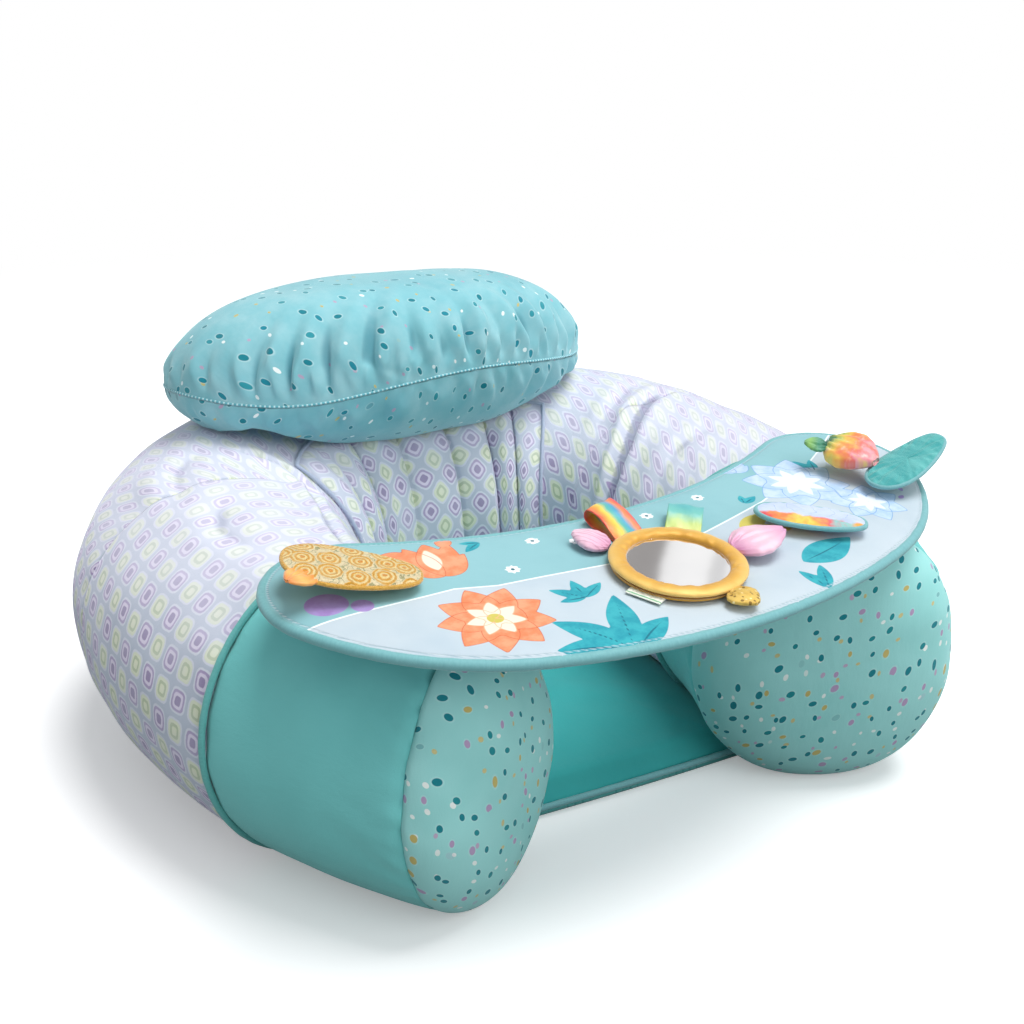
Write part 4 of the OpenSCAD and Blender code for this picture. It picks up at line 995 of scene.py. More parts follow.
def wall_point(s, z):
    """Point beside the ring's inner wall at height z."""
    hh = half_h(s)
    v = (hh - PRESS / 2 - z) / (hh + PRESS / 2)
    u = half_w(s) * (1 - np.abs(v) ** (2 / power(s))).clip(0) ** (power(s) / 2)
    q = np.abs(s)
    t, i = turn_at(q), arc_of(q)
    r = np.array(ARC_R)[i] - u - BASE_GAP
    x, y = CENTRES[i, 0] + r * np.sin(t), CENTRES[i, 1] + r * np.cos(t)
    return np.stack([np.where(s < 0, -x, x), y, z + 0 * x], -1)


def front_point(f, z):
    left, right = wall_point(np.array(-BASE_ENDS[0]), z), wall_point(np.array(BASE_ENDS[1]), z)
    mid = (left + right) / 2
    f = np.asarray(f, float)[..., None]
    p = mid + f * (right - mid)
    p[..., 1] -= BASE_BOW * (1 - f[..., 0] ** 2)
    return p


def base_ring(z, inset=1.0):
    s = np.linspace(BASE_ENDS[1], -BASE_ENDS[0], 200)
    ring = np.concatenate([wall_point(s, z), front_point(np.linspace(-1, 1, 60)[1:-1], z)])
    ring[:, :2] *= inset
    return ring


def seat_pad():
    rise = PAD_CROWN - PAD_SIDE
    rings = [base_ring(BOTTOM_T), base_ring(BOTTOM_T + 4), base_ring(BOTTOM_T + 9), base_ring(PAD_SIDE - 8),
             base_ring(PAD_SIDE - 4), base_ring(PAD_SIDE - 1.5, 0.992)]
    for k in np.linspace(0.975, 0.02, 70):
        ring = base_ring(PAD_SIDE + rise * (1 - k * k) ** 0.8, k)
        swell = soft_swell(ring[:, 0], ring[:, 1], 44, 55, 1.8) * (1 - k ** 6)
        ring[:, 2] += swell - 1.2
        rings.append(ring)
    cols = len(rings[0])
    points = np.concatenate(rings + [[[0, 0, PAD_SIDE + rise - 1.0]], [[0, 0, BOTTOM_T]]])
    faces = grid_faces(len(rings), cols, close_v=True, flip=True)
    last = (len(rings) - 1) * cols
    faces += [[last + k, last + (k + 1) % cols, len(points) - 2] for k in range(cols)]
    faces += [[(k + 1) % cols, k, len(points) - 1] for k in range(cols)]
    dress(make("seat_pad_cloth", points, faces, SEAT, "seat"),
          "teal_cloth", "seat_pad", fill=0.8)


seat_pad()
edge_z = BOTTOM_T + PIPING_R
line = front_point(np.linspace(-1, 1, 90), edge_z) - np.array([0, PIPING_R, 0])
dress(cord_mesh("base_piping_cord", line, PIPING_R, AQUA_CORD, "seat", closed=False, wobble=0.05),
      "aqua_piping", "base_piping")

# ---------------------------------------------------------------- tray
TRAY_Y, TRAY_Z, TRAY_TILT, TRAY_TURN, TRAY_LEFT = 167.5, 222.5, 6.9, 2.1, 4.3
TRAY_DEPTH, FRONT_R, CORNER_R, END_R, REAR_R, END_X = 160.0, 480.0, 190.0, 60.0, 424.0, 205.0
EDGE_T, RISE, FALL = 5.0, 6.0, 9.0
TRAY_PIPING_R = 3.6
TRAY_GRID = (421, 141)


def on_tray(x, v, z):
    """Point of the tray's own frame in the seat's frame."""
    x, v, z = np.broadcast_arrays(*(np.asarray(k, float) for k in (x, v, z)))
    t, k, mid = math.radians(TRAY_TURN), math.radians(TRAY_TILT), TRAY_DEPTH / 2
    px = x * math.cos(t) - (v + mid) * math.sin(t)
    py = x * math.sin(t) + (v + mid) * math.cos(t) - mid
    return np.stack([px - TRAY_LEFT, py * math.cos(k) - z * math.sin(k) - TRAY_Y,
                     py * math.sin(k) + z * math.cos(k) + TRAY_Z], -1)


def tray_arcs():
    """Centre, radius and angles of the outline's four arcs on one side."""
    front_c = np.array([0, FRONT_R - TRAY_DEPTH])
    rear_c = np.array([0, REAR_R])
    end_c = np.array([END_X, REAR_R - math.sqrt((REAR_R + END_R) ** 2 - END_X ** 2)])
    d = end_c - front_c
    gap, reach = FRONT_R - CORNER_R, CORNER_R - END_R
    c = (d @ d + gap * gap - reach * reach) / (2 * gap * math.hypot(*d))
    hand = math.atan2(d[0], -d[1]) - math.acos(c)
    corner_c = front_c + gap * np.array([math.sin(hand), -math.cos(hand)])
    e = end_c - corner_c
    corner_end = math.atan2(e[0], -e[1])
    r = rear_c - end_c
    end_end = math.tau + math.atan2(r[0], -r[1])
    return [(front_c, FRONT_R, -1, 0, hand, 60), (corner_c, CORNER_R, -1, hand, corner_end, 90),
            (end_c, END_R, -1, corner_end, end_end, 90), (rear_c, REAR_R, 1, end_end - math.pi, 0, 110)]


def tray_outline(inset=0.0):
    """Outline of the tray, from the middle of its front round its right end and back."""
    half = []
    for centre, radius, sign, start, stop, n in tray_arcs():
        t = np.linspace(start, stop, n, endpoint=False)
        r = radius + sign * inset
        half.append(np.stack([centre[0] + r * np.sin(t), centre[1] - r * np.cos(t)], -1))
    half = np.concatenate(half + [[[0, -inset]]])
    other = half[-2:0:-1] * [-1, 1]
    return np.concatenate([half, other])


PAD_LINE = tray_outline(TRAY_PIPING_R)


def edge_distance(x, v):
    """Distance from points inside the tray to its seam."""
    return reduce(np.minimum, (np.hypot(x - p, v - q) for p, q in PAD_LINE[::2]))


def tray_swell(d):
    return np.interp(d, [0, 2, 5, 9, 14, 21, 30], [0, 0.24, 0.5, 0.7, 0.85, 0.95, 1])


def tray_ripple(x, v, d):
    """Slow puckers of the quilted pad, strongest along its seam."""
    n = np.sin(x / 17 + 1.4 * np.sin(v / 23)) * np.sin(v / 13 + x / 41)
    slow = np.sin(x / 31) * np.sin(v / 24 + 1)
    return 0.45 * n * np.exp(-(d / 45)) * np.minimum(1, d / 6) + 0.25 * slow * np.minimum(1, d / 20)


def tray_height(x, v):
    d = edge_distance(x, v)
    return (EDGE_T / 2 + (RISE - EDGE_T / 2) * tray_swell(d) + tray_ripple(x, v, d)
            - 0.2 * np.minimum(1, d / 20))


def tray_grid():
    """Grid of points of the tray's plan, closer together at its ends."""
    n = len(PAD_LINE) // 2 + 1
    right = PAD_LINE[:n]
    far = int(np.argmax(right[:, 0]))
    top = right[far, 0]
    xs = top * np.sin(np.linspace(-math.pi / 2, math.pi / 2, TRAY_GRID[0]))
    front = np.interp(np.abs(xs), right[:far + 1, 0], right[:far + 1, 1])
    rear = np.interp(np.abs(xs), right[far:, 0][::-1], right[far:, 1][::-1])
    even = np.linspace(0, 1, TRAY_GRID[1])
    f = (1 - np.cos(even * math.pi)) / 2 * 0.5 + even * 0.5
    v = front[:, None] + (rear - front)[:, None] * f[None]
    return xs[:, None] + 0 * v, v


def band_edge(x):
    """Front edge of the teal band along the tray's rear."""
    return np.interp(x, [-270, -155, -129, -97, -56, -21, 29, 102, 166, 215, 260],
                     [-42, -45, -54, -58, -64, -68, -60, -42, -17, 10, 40])


# Prints on the tray, as outlines in its own plan: plain leaves, blooms and daisies
def leaf_loop(x, v, angle, length, width, bend=0.0):
    """Outline of a pointed leaf or petal that grows from a point along an angle."""
    t = np.linspace(0, 1, 26)
    half = width / 2 * np.sin(math.pi * t ** 0.85) ** 0.9
    lean = bend * length * t * t
    p = np.concatenate([np.stack([t * length, lean + half], -1),
                        np.stack([t * length, lean - half], -1)[-2:0:-1]])
    c, s = math.cos(math.radians(angle)), math.sin(math.radians(angle))
    return p @ np.array([[c, s], [-s, c]]) + [x, v]


def disc_loop(x, v, r, squash=1.0):
    t = np.arange(30) * math.tau / 30
    return np.stack([x + r * np.cos(t), v + r * squash * np.sin(t)], -1)


def bloom(x, v, r, petals, width, turn=0.0):
    """Petals of an open flower."""
    return [leaf_loop(0, 0, turn + 360 * k / petals, r, width) + [x, v] for k in range(petals)]


def tulip(x, v, angle, size):
    """Side view of a cup-shaped bloom: three petals that open upwards."""
    return [leaf_loop(x, v, angle + a, size * k, size * w, b) for a, k, w, b in
            ((0, 1.0, 0.52, 0.0), (27, 0.98, 0.42, -0.12), (-27, 0.98, 0.42, 0.12), (52, 0.72, 0.34, -0.2),
             (-52, 0.72, 0.34, 0.2))]


DAISIES = [(-77, -16), (-110, -42), (65, -16), (-52, -30), (14, -22)]
LEAVES = [(-109, -2, 200, 17, 7, 0.1), (-109, -2, 160, 14, 6, 0.0), (89, -39, 20, 16, 7, 0.0),
          (89, -39, 65, 13, 6, 0.0), (-90, -92, 125, 24, 9, 0.1), (-90, -92, 80, 22, 9, 0.0),
          (-90, -92, 35, 22, 9, -0.1), (-90, -92, 165, 18, 7, 0.1), (-98, -147, 118, 50, 19, 0.10),
          (-96, -147, 68, 55, 20, -0.04), (-100, -146, 152, 42, 17, 0.12), (-92, -148, 32, 36, 16, -0.12),
          (58, -152, 60, 26, 10, 0.0), (58, -152, 105, 24, 9, 0.0), (176, -22, 100, 22, 9, 0.0),
          (176, -22, 60, 20, 8, 0.0), (64, -122, 8, 56, 25, 0.06)]
ORANGE = (tulip(-152, -30, 78, 44) + bloom(-152, -86, 36, 9, 22, 8) + [disc_loop(-152, -86, 19)]
          + [leaf_loop(-179, 9, -20, 26, 14), leaf_loop(-134, 2, 60, 20, 11)])
CREAM = bloom(-152, -86, 19, 7, 10, 20) + [leaf_loop(-152, -22, 78, 28, 12), disc_loop(-152, -86, 7)]
GOLD_DOTS = [disc_loop(-152, -86, 5.2)] + [disc_loop(x, v, 1.5) for x, v in DAISIES]
BLUE = (bloom(148, -30, 40, 8, 27, 12) + [disc_loop(148, -30, 22)]
        + bloom(172, -78, 28, 7, 19, 0) + [disc_loop(172, -78, 15)] + tulip(120, 4, 62, 26))
BLUE_HEARTS = bloom(148, -30, 22, 8, 9, 34) + bloom(172, -78, 15, 7, 6, 26)
PURPLE = [disc_loop(-232, -27, 13.5, 0.9), disc_loop(-214, -38, 7)]
YELLOW = [leaf_loop(60, -66, 10, 34, 15, 0.1), leaf_loop(60, -68, -25, 36, 15)]
PINK_MARKS = [leaf_loop(206, -66, 40, 9, 4), leaf_loop(210, -76, 60, 8, 4), leaf_loop(198, -84, 20, 8, 4)]
PRINTS = {
    "leaf_print": [leaf_loop(*p) for p in LEAVES],
    "rib_print": [leaf_loop(x, v, turn, length * 0.86, 1.3, bend) for x, v, turn, length, _, bend in LEAVES],
    "daisy_print": [p for x, v in DAISIES for p in bloom(x, v, 5.6, 8, 3.0, x)],
    "gold_print": GOLD_DOTS + YELLOW,
    "orange_print": ORANGE,
    "cream_print": CREAM,
    "blue_print": BLUE,
    "blue_heart_print": BLUE_HEARTS,
    "purple_print": PURPLE + PINK_MARKS,
}


def print_distance(x, v, loops):
    """Distance into the nearest printed shape, in millimetres, and below zero outside."""
    total = np.full(x.shape, -12.0)
    for loop in loops:
        low, high = loop.min(0) - 6, loop.max(0) + 6
        near = (x > low[0]) & (x < high[0]) & (v > low[1]) & (v < high[1])
        if near.any():
            total[near] = np.maximum(total[near], signed_distance(x[near], v[near], loop))
    return total


def tray_cloth():
    m = Shader("tray_cloth", rough=0.78, sheen=0.2, sheen_tint="#eaf6ff")
    where, uv = m.place(), m.uv()
    pale = shade(m, "#c3d0d8", "#b0c3cf", where, 12.0, 0.7)
    teal = shade(m, "#8fc0c6", "#7fb2ba", where, 16.0, 0.5)
    edge = m.attribute("band")
    colour = m.mix(m.step(edge, -0.4, 0.4), pale, teal)
    line = m.subtract(m.step(edge, -1.6, -1.2), m.step(edge, -0.2, 0.2))
    colour = m.mix(line, colour, "#eef7f8")
    ink = m.noise(uv, 90.0, 3.0, 0.6)
    for name, light, dark in (("leaf_print", "#35adb8", "#1f97a8"), ("purple_print", "#a893cf", "#9c7fc0"),
                              ("blue_print", "#c9dcf2", "#aecbea"), ("orange_print", "#f4a27a", "#ec8658")):
        inside = m.step(m.attribute(name), -0.25, 0.25)
        colour = m.mix(inside, colour, m.mix(m.step(ink, 0.35, 0.65), light, dark))
    for name, tone in (("rib_print", "#0f6f83"), ("cream_print", "#fbe6d2"), ("blue_heart_print", "#e3edf9"),
                       ("gold_print", "#cfc25c"), ("daisy_print", "#f4f8f8"), ("daisy_dots", "#2c6f7c")):
        colour = m.mix(m.step(m.attribute(name), -0.2, 0.2), colour, tone)
    for name, tone in (("orange_lines", "#d06a40"), ("blue_lines", "#6f9fcf"), ("cream_lines", "#e9b48c")):
        for half in ("_odd", "_even"):
            away = m.absolute(m.attribute(name + half))
            colour = m.mix(m.step(away, 0.15, 0.5, 0.8, 0.0), colour, tone)
    rim = m.attribute("rim")
    sunk = m.subtract(m.step(rim, 2.2, 3.0), m.step(rim, 3.4, 4.2))
    x, y, _ = m.split(uv)
    dash = m.step(m.wave(m.add(x, y), 0.0034), -0.3, 0.1)
    # The sunk stitch line round the seam is darkened with painted shade in its groove, and dashed with white
    # thread.
    colour = m.mix(m.times(sunk, 0.35), colour, "#7fa3b2")
    m.colour(m.mix(m.times(m.times(sunk, dash), 0.25), colour, "#ffffff"))
    grain = m.noise(where, 1900.0, 2.0, 0.6)
    soft = m.noise(where, 120.0, 3.0, 0.6)
    return m.finish(sunk, -0.0008, 0.5, m.bump(soft, 0.0012, 0.2, m.bump(grain, 0.0005, 0.2)))


TRAY_CLOTH = tray_cloth()


def tray_pad():
    x, v = tray_grid()
    d = edge_distance(x, v)
    low = on_tray(x, v, -(EDGE_T / 2 + (FALL - 0.3 - EDGE_T / 2) * tray_swell(d)))
    points, faces, uv = skins((on_tray(x, v, tray_height(x, v)), low, x, v))
    layers = {name: print_distance(x, v, loops) for name, loops in PRINTS.items()}
    layers["daisy_dots"] = print_distance(x, v, [disc_loop(p, q, 1.5) for p, q in DAISIES])
    for name, loops in (("orange_lines", ORANGE), ("blue_lines", BLUE + BLUE_HEARTS), ("cream_lines", CREAM)):
        layers[name + "_odd"] = print_distance(x, v, loops[::2])
        layers[name + "_even"] = print_distance(x, v, loops[1::2])
    layers["band"] = v - band_edge(x)
    layers["rim"] = np.minimum(d, 12.0)
    layers = {name: np.concatenate([value.ravel(), np.full(x.size, -12.0)]) for name, value in layers.items()}
    dress(make("tray_pad_cloth", points, faces, TRAY_CLOTH, "tray", uv=uv, extra=layers),
          "tray_cloth", "tray_pad", fill=0.5)


tray_pad()
outline = tray_outline(TRAY_PIPING_R)
line = on_tray(outline[:, 0], outline[:, 1], 0.0)
dress(cord_mesh("tray_piping_cord", line, TRAY_PIPING_R, AQUA_CORD, "tray", wobble=0.03, sides=16),
      "aqua_piping", "tray_piping")

# ---------------------------------------------------------------- pillow
PILLOW_L, PILLOW_D = 193.0, 100.0
PILLOW_AT = (-9.0, 153.0, 259.0)
PILLOW_TURN, PILLOW_UP, PILLOW_DOWN, PILLOW_TILT, PILLOW_LEAN = 2.0, 77.0, 60.0, 4.0, 1.2
PILLOW_REST = 3.0
PILLOW_GRID, SEAM_R = (100, 760), 150
SEAM_RISES = (5.5, 35, 70), (-8.5, -125, 60), (-4.0, 170, 50)


def pillow_plan(a, k):
    c, s = spow(np.cos(np.radians(a)), 0.82), spow(np.sin(np.radians(a)), 0.86)
    return PILLOW_L * k * c, PILLOW_D * k * s * 0.92 + 16 * k * k * c * c


def pillow_xy(px, py):
    (x, y), t = PILLOW_AT[:2], math.radians(PILLOW_TURN)
    return x + px * math.cos(t) - py * math.sin(t), y + px * math.sin(t) + py * math.cos(t)


def pillow_seam_z(px, py):
    return PILLOW_AT[2] - py * math.tan(math.radians(PILLOW_TILT)) - px * math.tan(math.radians(PILLOW_LEAN))


def seam_wave(px, py):
    """How far the front seam rises and falls along the pillow."""
    rise = sum(high * np.exp(-((px - at) / wide) ** 2) for high, at, wide in SEAM_RISES)
    return rise * np.clip(-py / 40, 0, 1)


def rest_room(x, y):
    off, s = foot(x, y)
    within = (-off / 30).clip(0, 1) * ((by_side(x, PANEL_TOPS) + 40 - s) / 25).clip(0, 1)
    return PILLOW_REST + PANEL_T * within


# Long folds of the pillow's front: degrees round the seam, depth, width and reach in millimetres
TUCKS = [(188, 7, 3.4, 22), (203, 8, 3.4, 32), (214, 7, 3.0, 24), (222, 11, 2.8, 42), (228, 7, 2.3, 26),
         (233, 12, 2.5, 52), (238, 8, 2.1, 29), (243, 14, 2.5, 49), (248, 7, 2.0, 24), (252, 12, 2.3, 48),
         (256, 14, 2.3, 51), (260, 8, 1.7, 32), (263, 12, 1.8, 48), (266, 8, 1.5, 35), (269, 12, 1.7, 50),
         (272, 8, 1.5, 29), (275, 14, 1.8, 53), (279, 9, 1.7, 40), (283, 12, 2.1, 48), (288, 8, 2.1, 32),
         (292, 12, 2.3, 52), (297, 7, 2.3, 27), (302, 11, 2.5, 48), (309, 8, 2.8, 32), (316, 11, 3.0, 42),
         (325, 7, 3.0, 26), (336, 8, 3.4, 32), (350, 5, 3.7, 23)]
TUCKS += [(5.5 + 6.4 * i, 5.5 + 2.5 * math.sin(i * 2.6), 3.2 - 0.9 * math.sin(i * 1.7),
           27 + 9 * math.sin(i * 3.9))
          for i in range(28)]


def tucks(seam, away, up):
    total = np.zeros(seam.shape)
    for k, (at, depth, width, reach) in enumerate(TUCKS):
        if not up:
            at, depth, reach = at + 2, depth * 0.7, reach * 0.55
        centre = (np.radians(at + (at - 262) * away / 420) * SEAM_R + away * 0.07 * math.sin(k * 2.3)
                  + 1.3 * np.sin(away / 17 + k))
        w = width * (1 + 1.6 * away / reach)
        gap = np.abs(seam - centre) / w
        fade = np.exp(-(away / reach) ** 2)
        total = total - depth * fade * (np.exp(-gap ** 1.5) - 0.55 * np.exp(-((gap - 2.3) / 1.1) ** 2))
    return total


def pillow_skin(up):
    rows, cols = PILLOW_GRID
    k = np.sin(np.linspace(0, math.pi / 2, rows))[1:]
    k, a = np.meshgrid(k, np.arange(cols) * 360 / cols, indexing="ij")
    px, py = pillow_plan(a, k)
    x, y = pillow_xy(px, py)
    swell = (1 - k ** 3).clip(0) ** 0.5
    seam = np.radians(a) * SEAM_R
    plain = np.stack([px, py, (PILLOW_UP if up else -PILLOW_DOWN) * swell], -1)
    step = np.linalg.norm(np.diff(plain, axis=0), axis=2)
    run = np.concatenate([np.hypot(px[:1], py[:1]), np.hypot(px[:1], py[:1]) + np.cumsum(step, 0)])
    away = run[-1:] - run
    relief = (wrinkles(seam, away, 12, 2.4, 26, 51 if up else 52, 0.3) + tucks(seam, away, up)
              + soft_swell(px, py, 53, 80, 2.4))
    out = (relief * (1 - k ** 60)).clip(-11, 6)
    nx, ny = -px / np.hypot(px, py).clip(1), -py / np.hypot(px, py).clip(1)
    side = k ** 3 * 0.8
    z = pillow_seam_z(px, py) + seam_wave(px, py) * k ** 6 + plain[..., 2]
    z = z + (out if up else -out) * (1 - side)
    x, y = x - nx * out * side, y - ny * out * side
    low = tube_top(x, y, rest_room(x, y)) + 0.2
    turn = np.arctan2(py, px)
    flat = np.stack([run * np.cos(turn) * MM, run * np.sin(turn) * MM], -1)
    return np.stack([x, y, z if up else np.maximum(z, low)], -1), flat, (-out / 7).clip(0, 1)


def pillow_shell(top, bottom):
    """Points and faces of a closed shell from the grids of its two halves, which share a seam."""
    rows, cols = top.shape[:2]
    n, ring = rows * cols, np.arange(cols)
    points = np.concatenate([top.reshape(-1, 3), bottom[:-1].reshape(-1, 3),
                             [top[0].mean(0), bottom[0].mean(0)]])
    faces = grid_faces(rows, cols, close_v=True) + grid_faces(rows - 1, cols, n, close_v=True, flip=True)
    faces += band((rows - 1) * cols + ring, n + (rows - 2) * cols + ring)
    faces += [[k, (k + 1) % cols, len(points) - 2] for k in range(cols)]
    faces += [[n + (k + 1) % cols, n + k, len(points) - 1] for k in range(cols)]
    return points, faces


def pillow():
    top, top_flat, top_fold = pillow_skin(True)
    bottom, bottom_flat, bottom_fold = pillow_skin(False)
    points, faces = pillow_shell(top, bottom)
    uv = np.concatenate([top_flat.reshape(-1, 2), bottom_flat[:-1].reshape(-1, 2) + 0.5,
                         [[0, 0], [0.5, 0.5]]])
    deep = np.concatenate([top_fold.ravel(), bottom_fold[:-1].ravel(), [0, 0]])
    dress(make("pillow_cloth_cover", points, faces, PILLOW, "pillow", uv=uv, extra={"fold": deep}),
          "pillow_cloth", "pillow_top", "pillow_bottom", fill=0.75)
    middle = np.array([*PILLOW_AT[:2], (top[..., 2].max() + bottom[..., 2].min()) / 2])
    inside, faces = pillow_shell(top[2::3, ::4], bottom[2::3, ::4])
    inside = (inside - middle) * 0.92 + middle
    x, y = inside[:, 0], inside[:, 1]
    inside[:, 2] = np.maximum(inside[:, 2], tube_top(x, y, rest_room(x, y)) + 4.5)
    dress(make("pillow_fibre_mass", inside, faces, FIBRE, "pillow"),
          "fibre_filling", "pillow_filling", fill=0.75)


pillow()
a = np.arange(420) * 360 / 420
px, py = pillow_plan(a, 1.0)
x, y = pillow_xy(px, py)
line = np.stack([x, y, pillow_seam_z(px, py) + seam_wave(px, py)], -1)
dress(cord_mesh("pillow_piping_cord", line, 0.9, PILLOW_CORD, "pillow", sides=12, wobble=0.08),
      "pillow_cloth", "pillow_piping")

STRAP_HALF, STRAP_GAP, STRAP_FOOT, STRAP_TREAD = 46.0, 4.0, 262.0, 14.0


def pillow_strap():
    """Cloth strip from the top of the back up to the pillow's rear seam."""
    u, f = np.meshgrid(np.linspace(-1, 1, 50), np.linspace(0, 1, 40), indexing="ij")
    x = PILLOW_AT[0] + u * STRAP_HALF
    top_y, top_z = PILLOW_AT[1] + PILLOW_D * 0.92 + STRAP_GAP, pillow_seam_z(0, PILLOW_D * 0.92) - 2
    feet = [STRAP_FOOT + STRAP_TREAD * i for i in range(3)]
    y = np.interp(f, [0, 0.34, 0.67, 1], [top_y] + feet)
    z = np.interp(f, [0, 0.34, 0.67, 1],
                  [top_z] + [float(tube_top(np.array(0.0), np.array(v))) + 0.6 for v in feet])
    wave = 0.3 * np.sin(u * 9) * np.sin(f * math.pi)
    low = np.stack([x, y, z], -1)
    points, faces, uv = skins((low + np.stack([0 * x, 0.5 + 0 * x, 1.3 + wave], -1), low, x, f * 46))
    obj = dress(make("pillow_strap_cloth", points, faces, WEBBING_LILAC, "seat", uv=uv),
                "lilac_cloth", "pillow_strap")
    length = path_sum(low[25])


pillow_strap()


# ---------------------------------------------------------------- toys on the tray
def placing(*steps):
    """Places points of a toy. Each step is a move (x, y, z) or a turn ("X", degrees),
    from the tray's own frame inwards."""
    def put(p):
        p = np.asarray(p, float)
        for step in reversed(steps):
            if isinstance(step[0], str):
                p = p @ np.array(Matrix.Rotation(math.radians(step[1]), 3, step[0])).T
            else:
                p = p + np.asarray(step, float)
        return on_tray(p[..., 0], p[..., 1], p[..., 2])
    return put


MIRROR_AT = (-17.0, -91.0, RISE + 0.4)
MIRROR_R, MIRROR_RIM_W, MIRROR_T = 45.0, 12.0, 4.0
# The padded rim's section: distance in from its edge, and height
RIM_PROFILE = [(11.7, 0.3), (3, 0.1), (1, 0.4), (0.2, 1.4), (0.5, 2.5), (1.8, 3.5), (4, 4.1), (6.5, 4.3),
               (9, 4.1), (10.8, 3.4), (11.8, 2.5), (12, 1.6), (12, 0.9)]


def at_mirror_edge(angle, z=0.0, out=-2.0, *more):
    return placing(MIRROR_AT, ("Z", angle - 90), (0, MIRROR_R + out, z), *more)


def strip(name, put, path, width, material, body, slot, node, t=0.9, twist=0.0, flare=0.0, seed=1):
    """Tape folded along a path of (y, z) points, with a soft waviness and a turn along it."""
    pick = np.random.default_rng(seed)
    path = np.asarray(path, float)
    span = np.concatenate([[0], np.cumsum(np.linalg.norm(np.diff(path, axis=0), axis=1))])
    f = np.linspace(0, span[-1], max(24, round(span[-1] / 0.9)))
    smooth = np.stack([np.interp(f, span, path[:, k]) for k in range(2)], -1)
    for _ in range(3):
        smooth[1:-1] = (smooth[:-2] + 2 * smooth[1:-1] + smooth[2:]) / 4
    along = np.gradient(smooth, axis=0)
    along /= np.linalg.norm(along, axis=1)[:, None]
    out = np.stack([along[:, 1], -along[:, 0]], -1)
    u = np.linspace(-1, 1, 26)
    k = np.sin(math.pi * f / span[-1])[:, None]
    wave = k * 0.5 * np.sin(u[None] * 4.2 + f[:, None] / 5 + pick.uniform(0, 6))
    x = u[None] * width / 2 * (1 + flare * k)
    angle = np.radians(twist) * k
    grids = []
    for side in (1, -1):
        y = smooth[:, None, 0] + out[:, None, 0] * (wave + side * t / 2)
        z = smooth[:, None, 1] + out[:, None, 1] * (wave + side * t / 2)
        grids.append(put(np.stack([x * np.cos(angle), y + x * np.sin(angle) * 0.5, z + 0 * x], -1)))
    points, faces, uv = skins((*grids, x, f[:, None]))
    obj = dress(make(name, points, faces, material, body, uv=uv),
                slot, node)


def loop_path(reach, rise):
    """Side view of a ribbon loop whose two ends lie one on the other."""
    return [(0, 2.0), (reach * 0.25, rise * 0.55), (reach * 0.5, rise * 0.86), (reach * 0.75, rise * 0.98),
            (reach - 3.5, rise - 0.8), (reach - 1.2, rise * 0.62), (reach - 2.2, rise * 0.3),
            (reach * 0.75, 1.2), (reach * 0.5, 0.55), (reach * 0.2, 0.5), (0, 0.5)]


def leaf_piece(name, put, length, width, t, material, body, slot, *nodes, seed=1, gather=1.0, fill=0.6,
               droop=0.0):
    """Stuffed leaf-shaped tab, gathered where it is sewn down."""
    f, k = np.meshgrid(np.linspace(0, 1, 64), np.arange(84) * 360 / 84, indexing="ij")
    half = width / 2 * np.sin(math.pi * (0.06 + 0.9 * f ** 0.8)) ** 0.8
    h = t / 2 * np.sin(math.pi * (0.08 + 0.86 * f)) ** 0.7
    c, s = np.cos(np.radians(k)), np.sin(np.radians(k))
    folds = wrinkles(c * width, f * length, width / 5, 0.9 * gather, length * 0.55, seed, 0.3)
    lift = folds * np.abs(s) ** 0.5 * np.minimum(1, h / 2)
    z = spow(s, 0.8) * (h + lift) - droop * f * f + 0.4 * np.sin(c * 5 + f * 4) * f
    rows, cols = f.shape
    points = np.stack([half * c * (1 + 0.02 * np.sin(f * 30)), f * length, z], -1)
    faces = grid_faces(rows, cols, close_v=True)
    faces += [list(range(cols))[::-1], list(range((rows - 1) * cols, rows * cols))]
    uv = np.stack([half * c * MM, f * length * MM], -1).reshape(-1, 2)
    dress(make(name, put(points).reshape(-1, 3), faces, material, body, uv=uv), slot, *nodes, fill=fill)


def flap_plan(a, k, length, width, tip, curl):
    """Plan and height of a flap's middle at angle a in degrees, drawn in to the share k."""
    a = np.radians(a)
    taper = 1 - tip * (1 + np.cos(a)) / 2 * np.abs(np.sin(a)) ** 0.6
    x = length / 2 * np.cos(a) * k
    return x, width / 2 * spow(np.sin(a), 0.9) * taper * k, curl * (x / 40) ** 2


def flap_piece(name, put, plan, t, material, body, slot, node, seed, gather):
    """Padded flap with a rounded edge, puckered along its seam."""
    length, width = plan[:2]
    k = np.sin(np.linspace(0.03, math.pi / 2, 44))
    kk, aa = np.meshgrid(k, np.arange(220) * 360 / 220, indexing="ij")
    x, y, lift = flap_plan(aa, kk, *plan)
    rim = np.radians(aa) * (length + width) / 4
    puff = (1 - kk ** 5).clip(0) ** 0.55
    folds = wrinkles(rim, (1 - kk) * width / 2, 6.5, gather, width * 0.24, seed, 0.3) * (1 - kk ** 10)
    h = t / 2 * (0.22 + 0.78 * puff)
    top, low = np.stack([x, y, lift + h + folds], -1), np.stack([x, y, lift - h], -1)
    points, faces = closed_disc(top, low)
    dress(make(name, put(points), faces, material, body, uv=points[:, :2] * MM),
          slot, node, fill=0.5)


def flap_rim(name, put, plan, r, material, body, slot):
    """Piping round a flap's edge."""
    line = put(np.stack(flap_plan(np.arange(260) * 360 / 260, 1.0, *plan), -1))
    dress(cord_mesh(name, line, r, material, body, sides=12, wobble=0.06), slot)


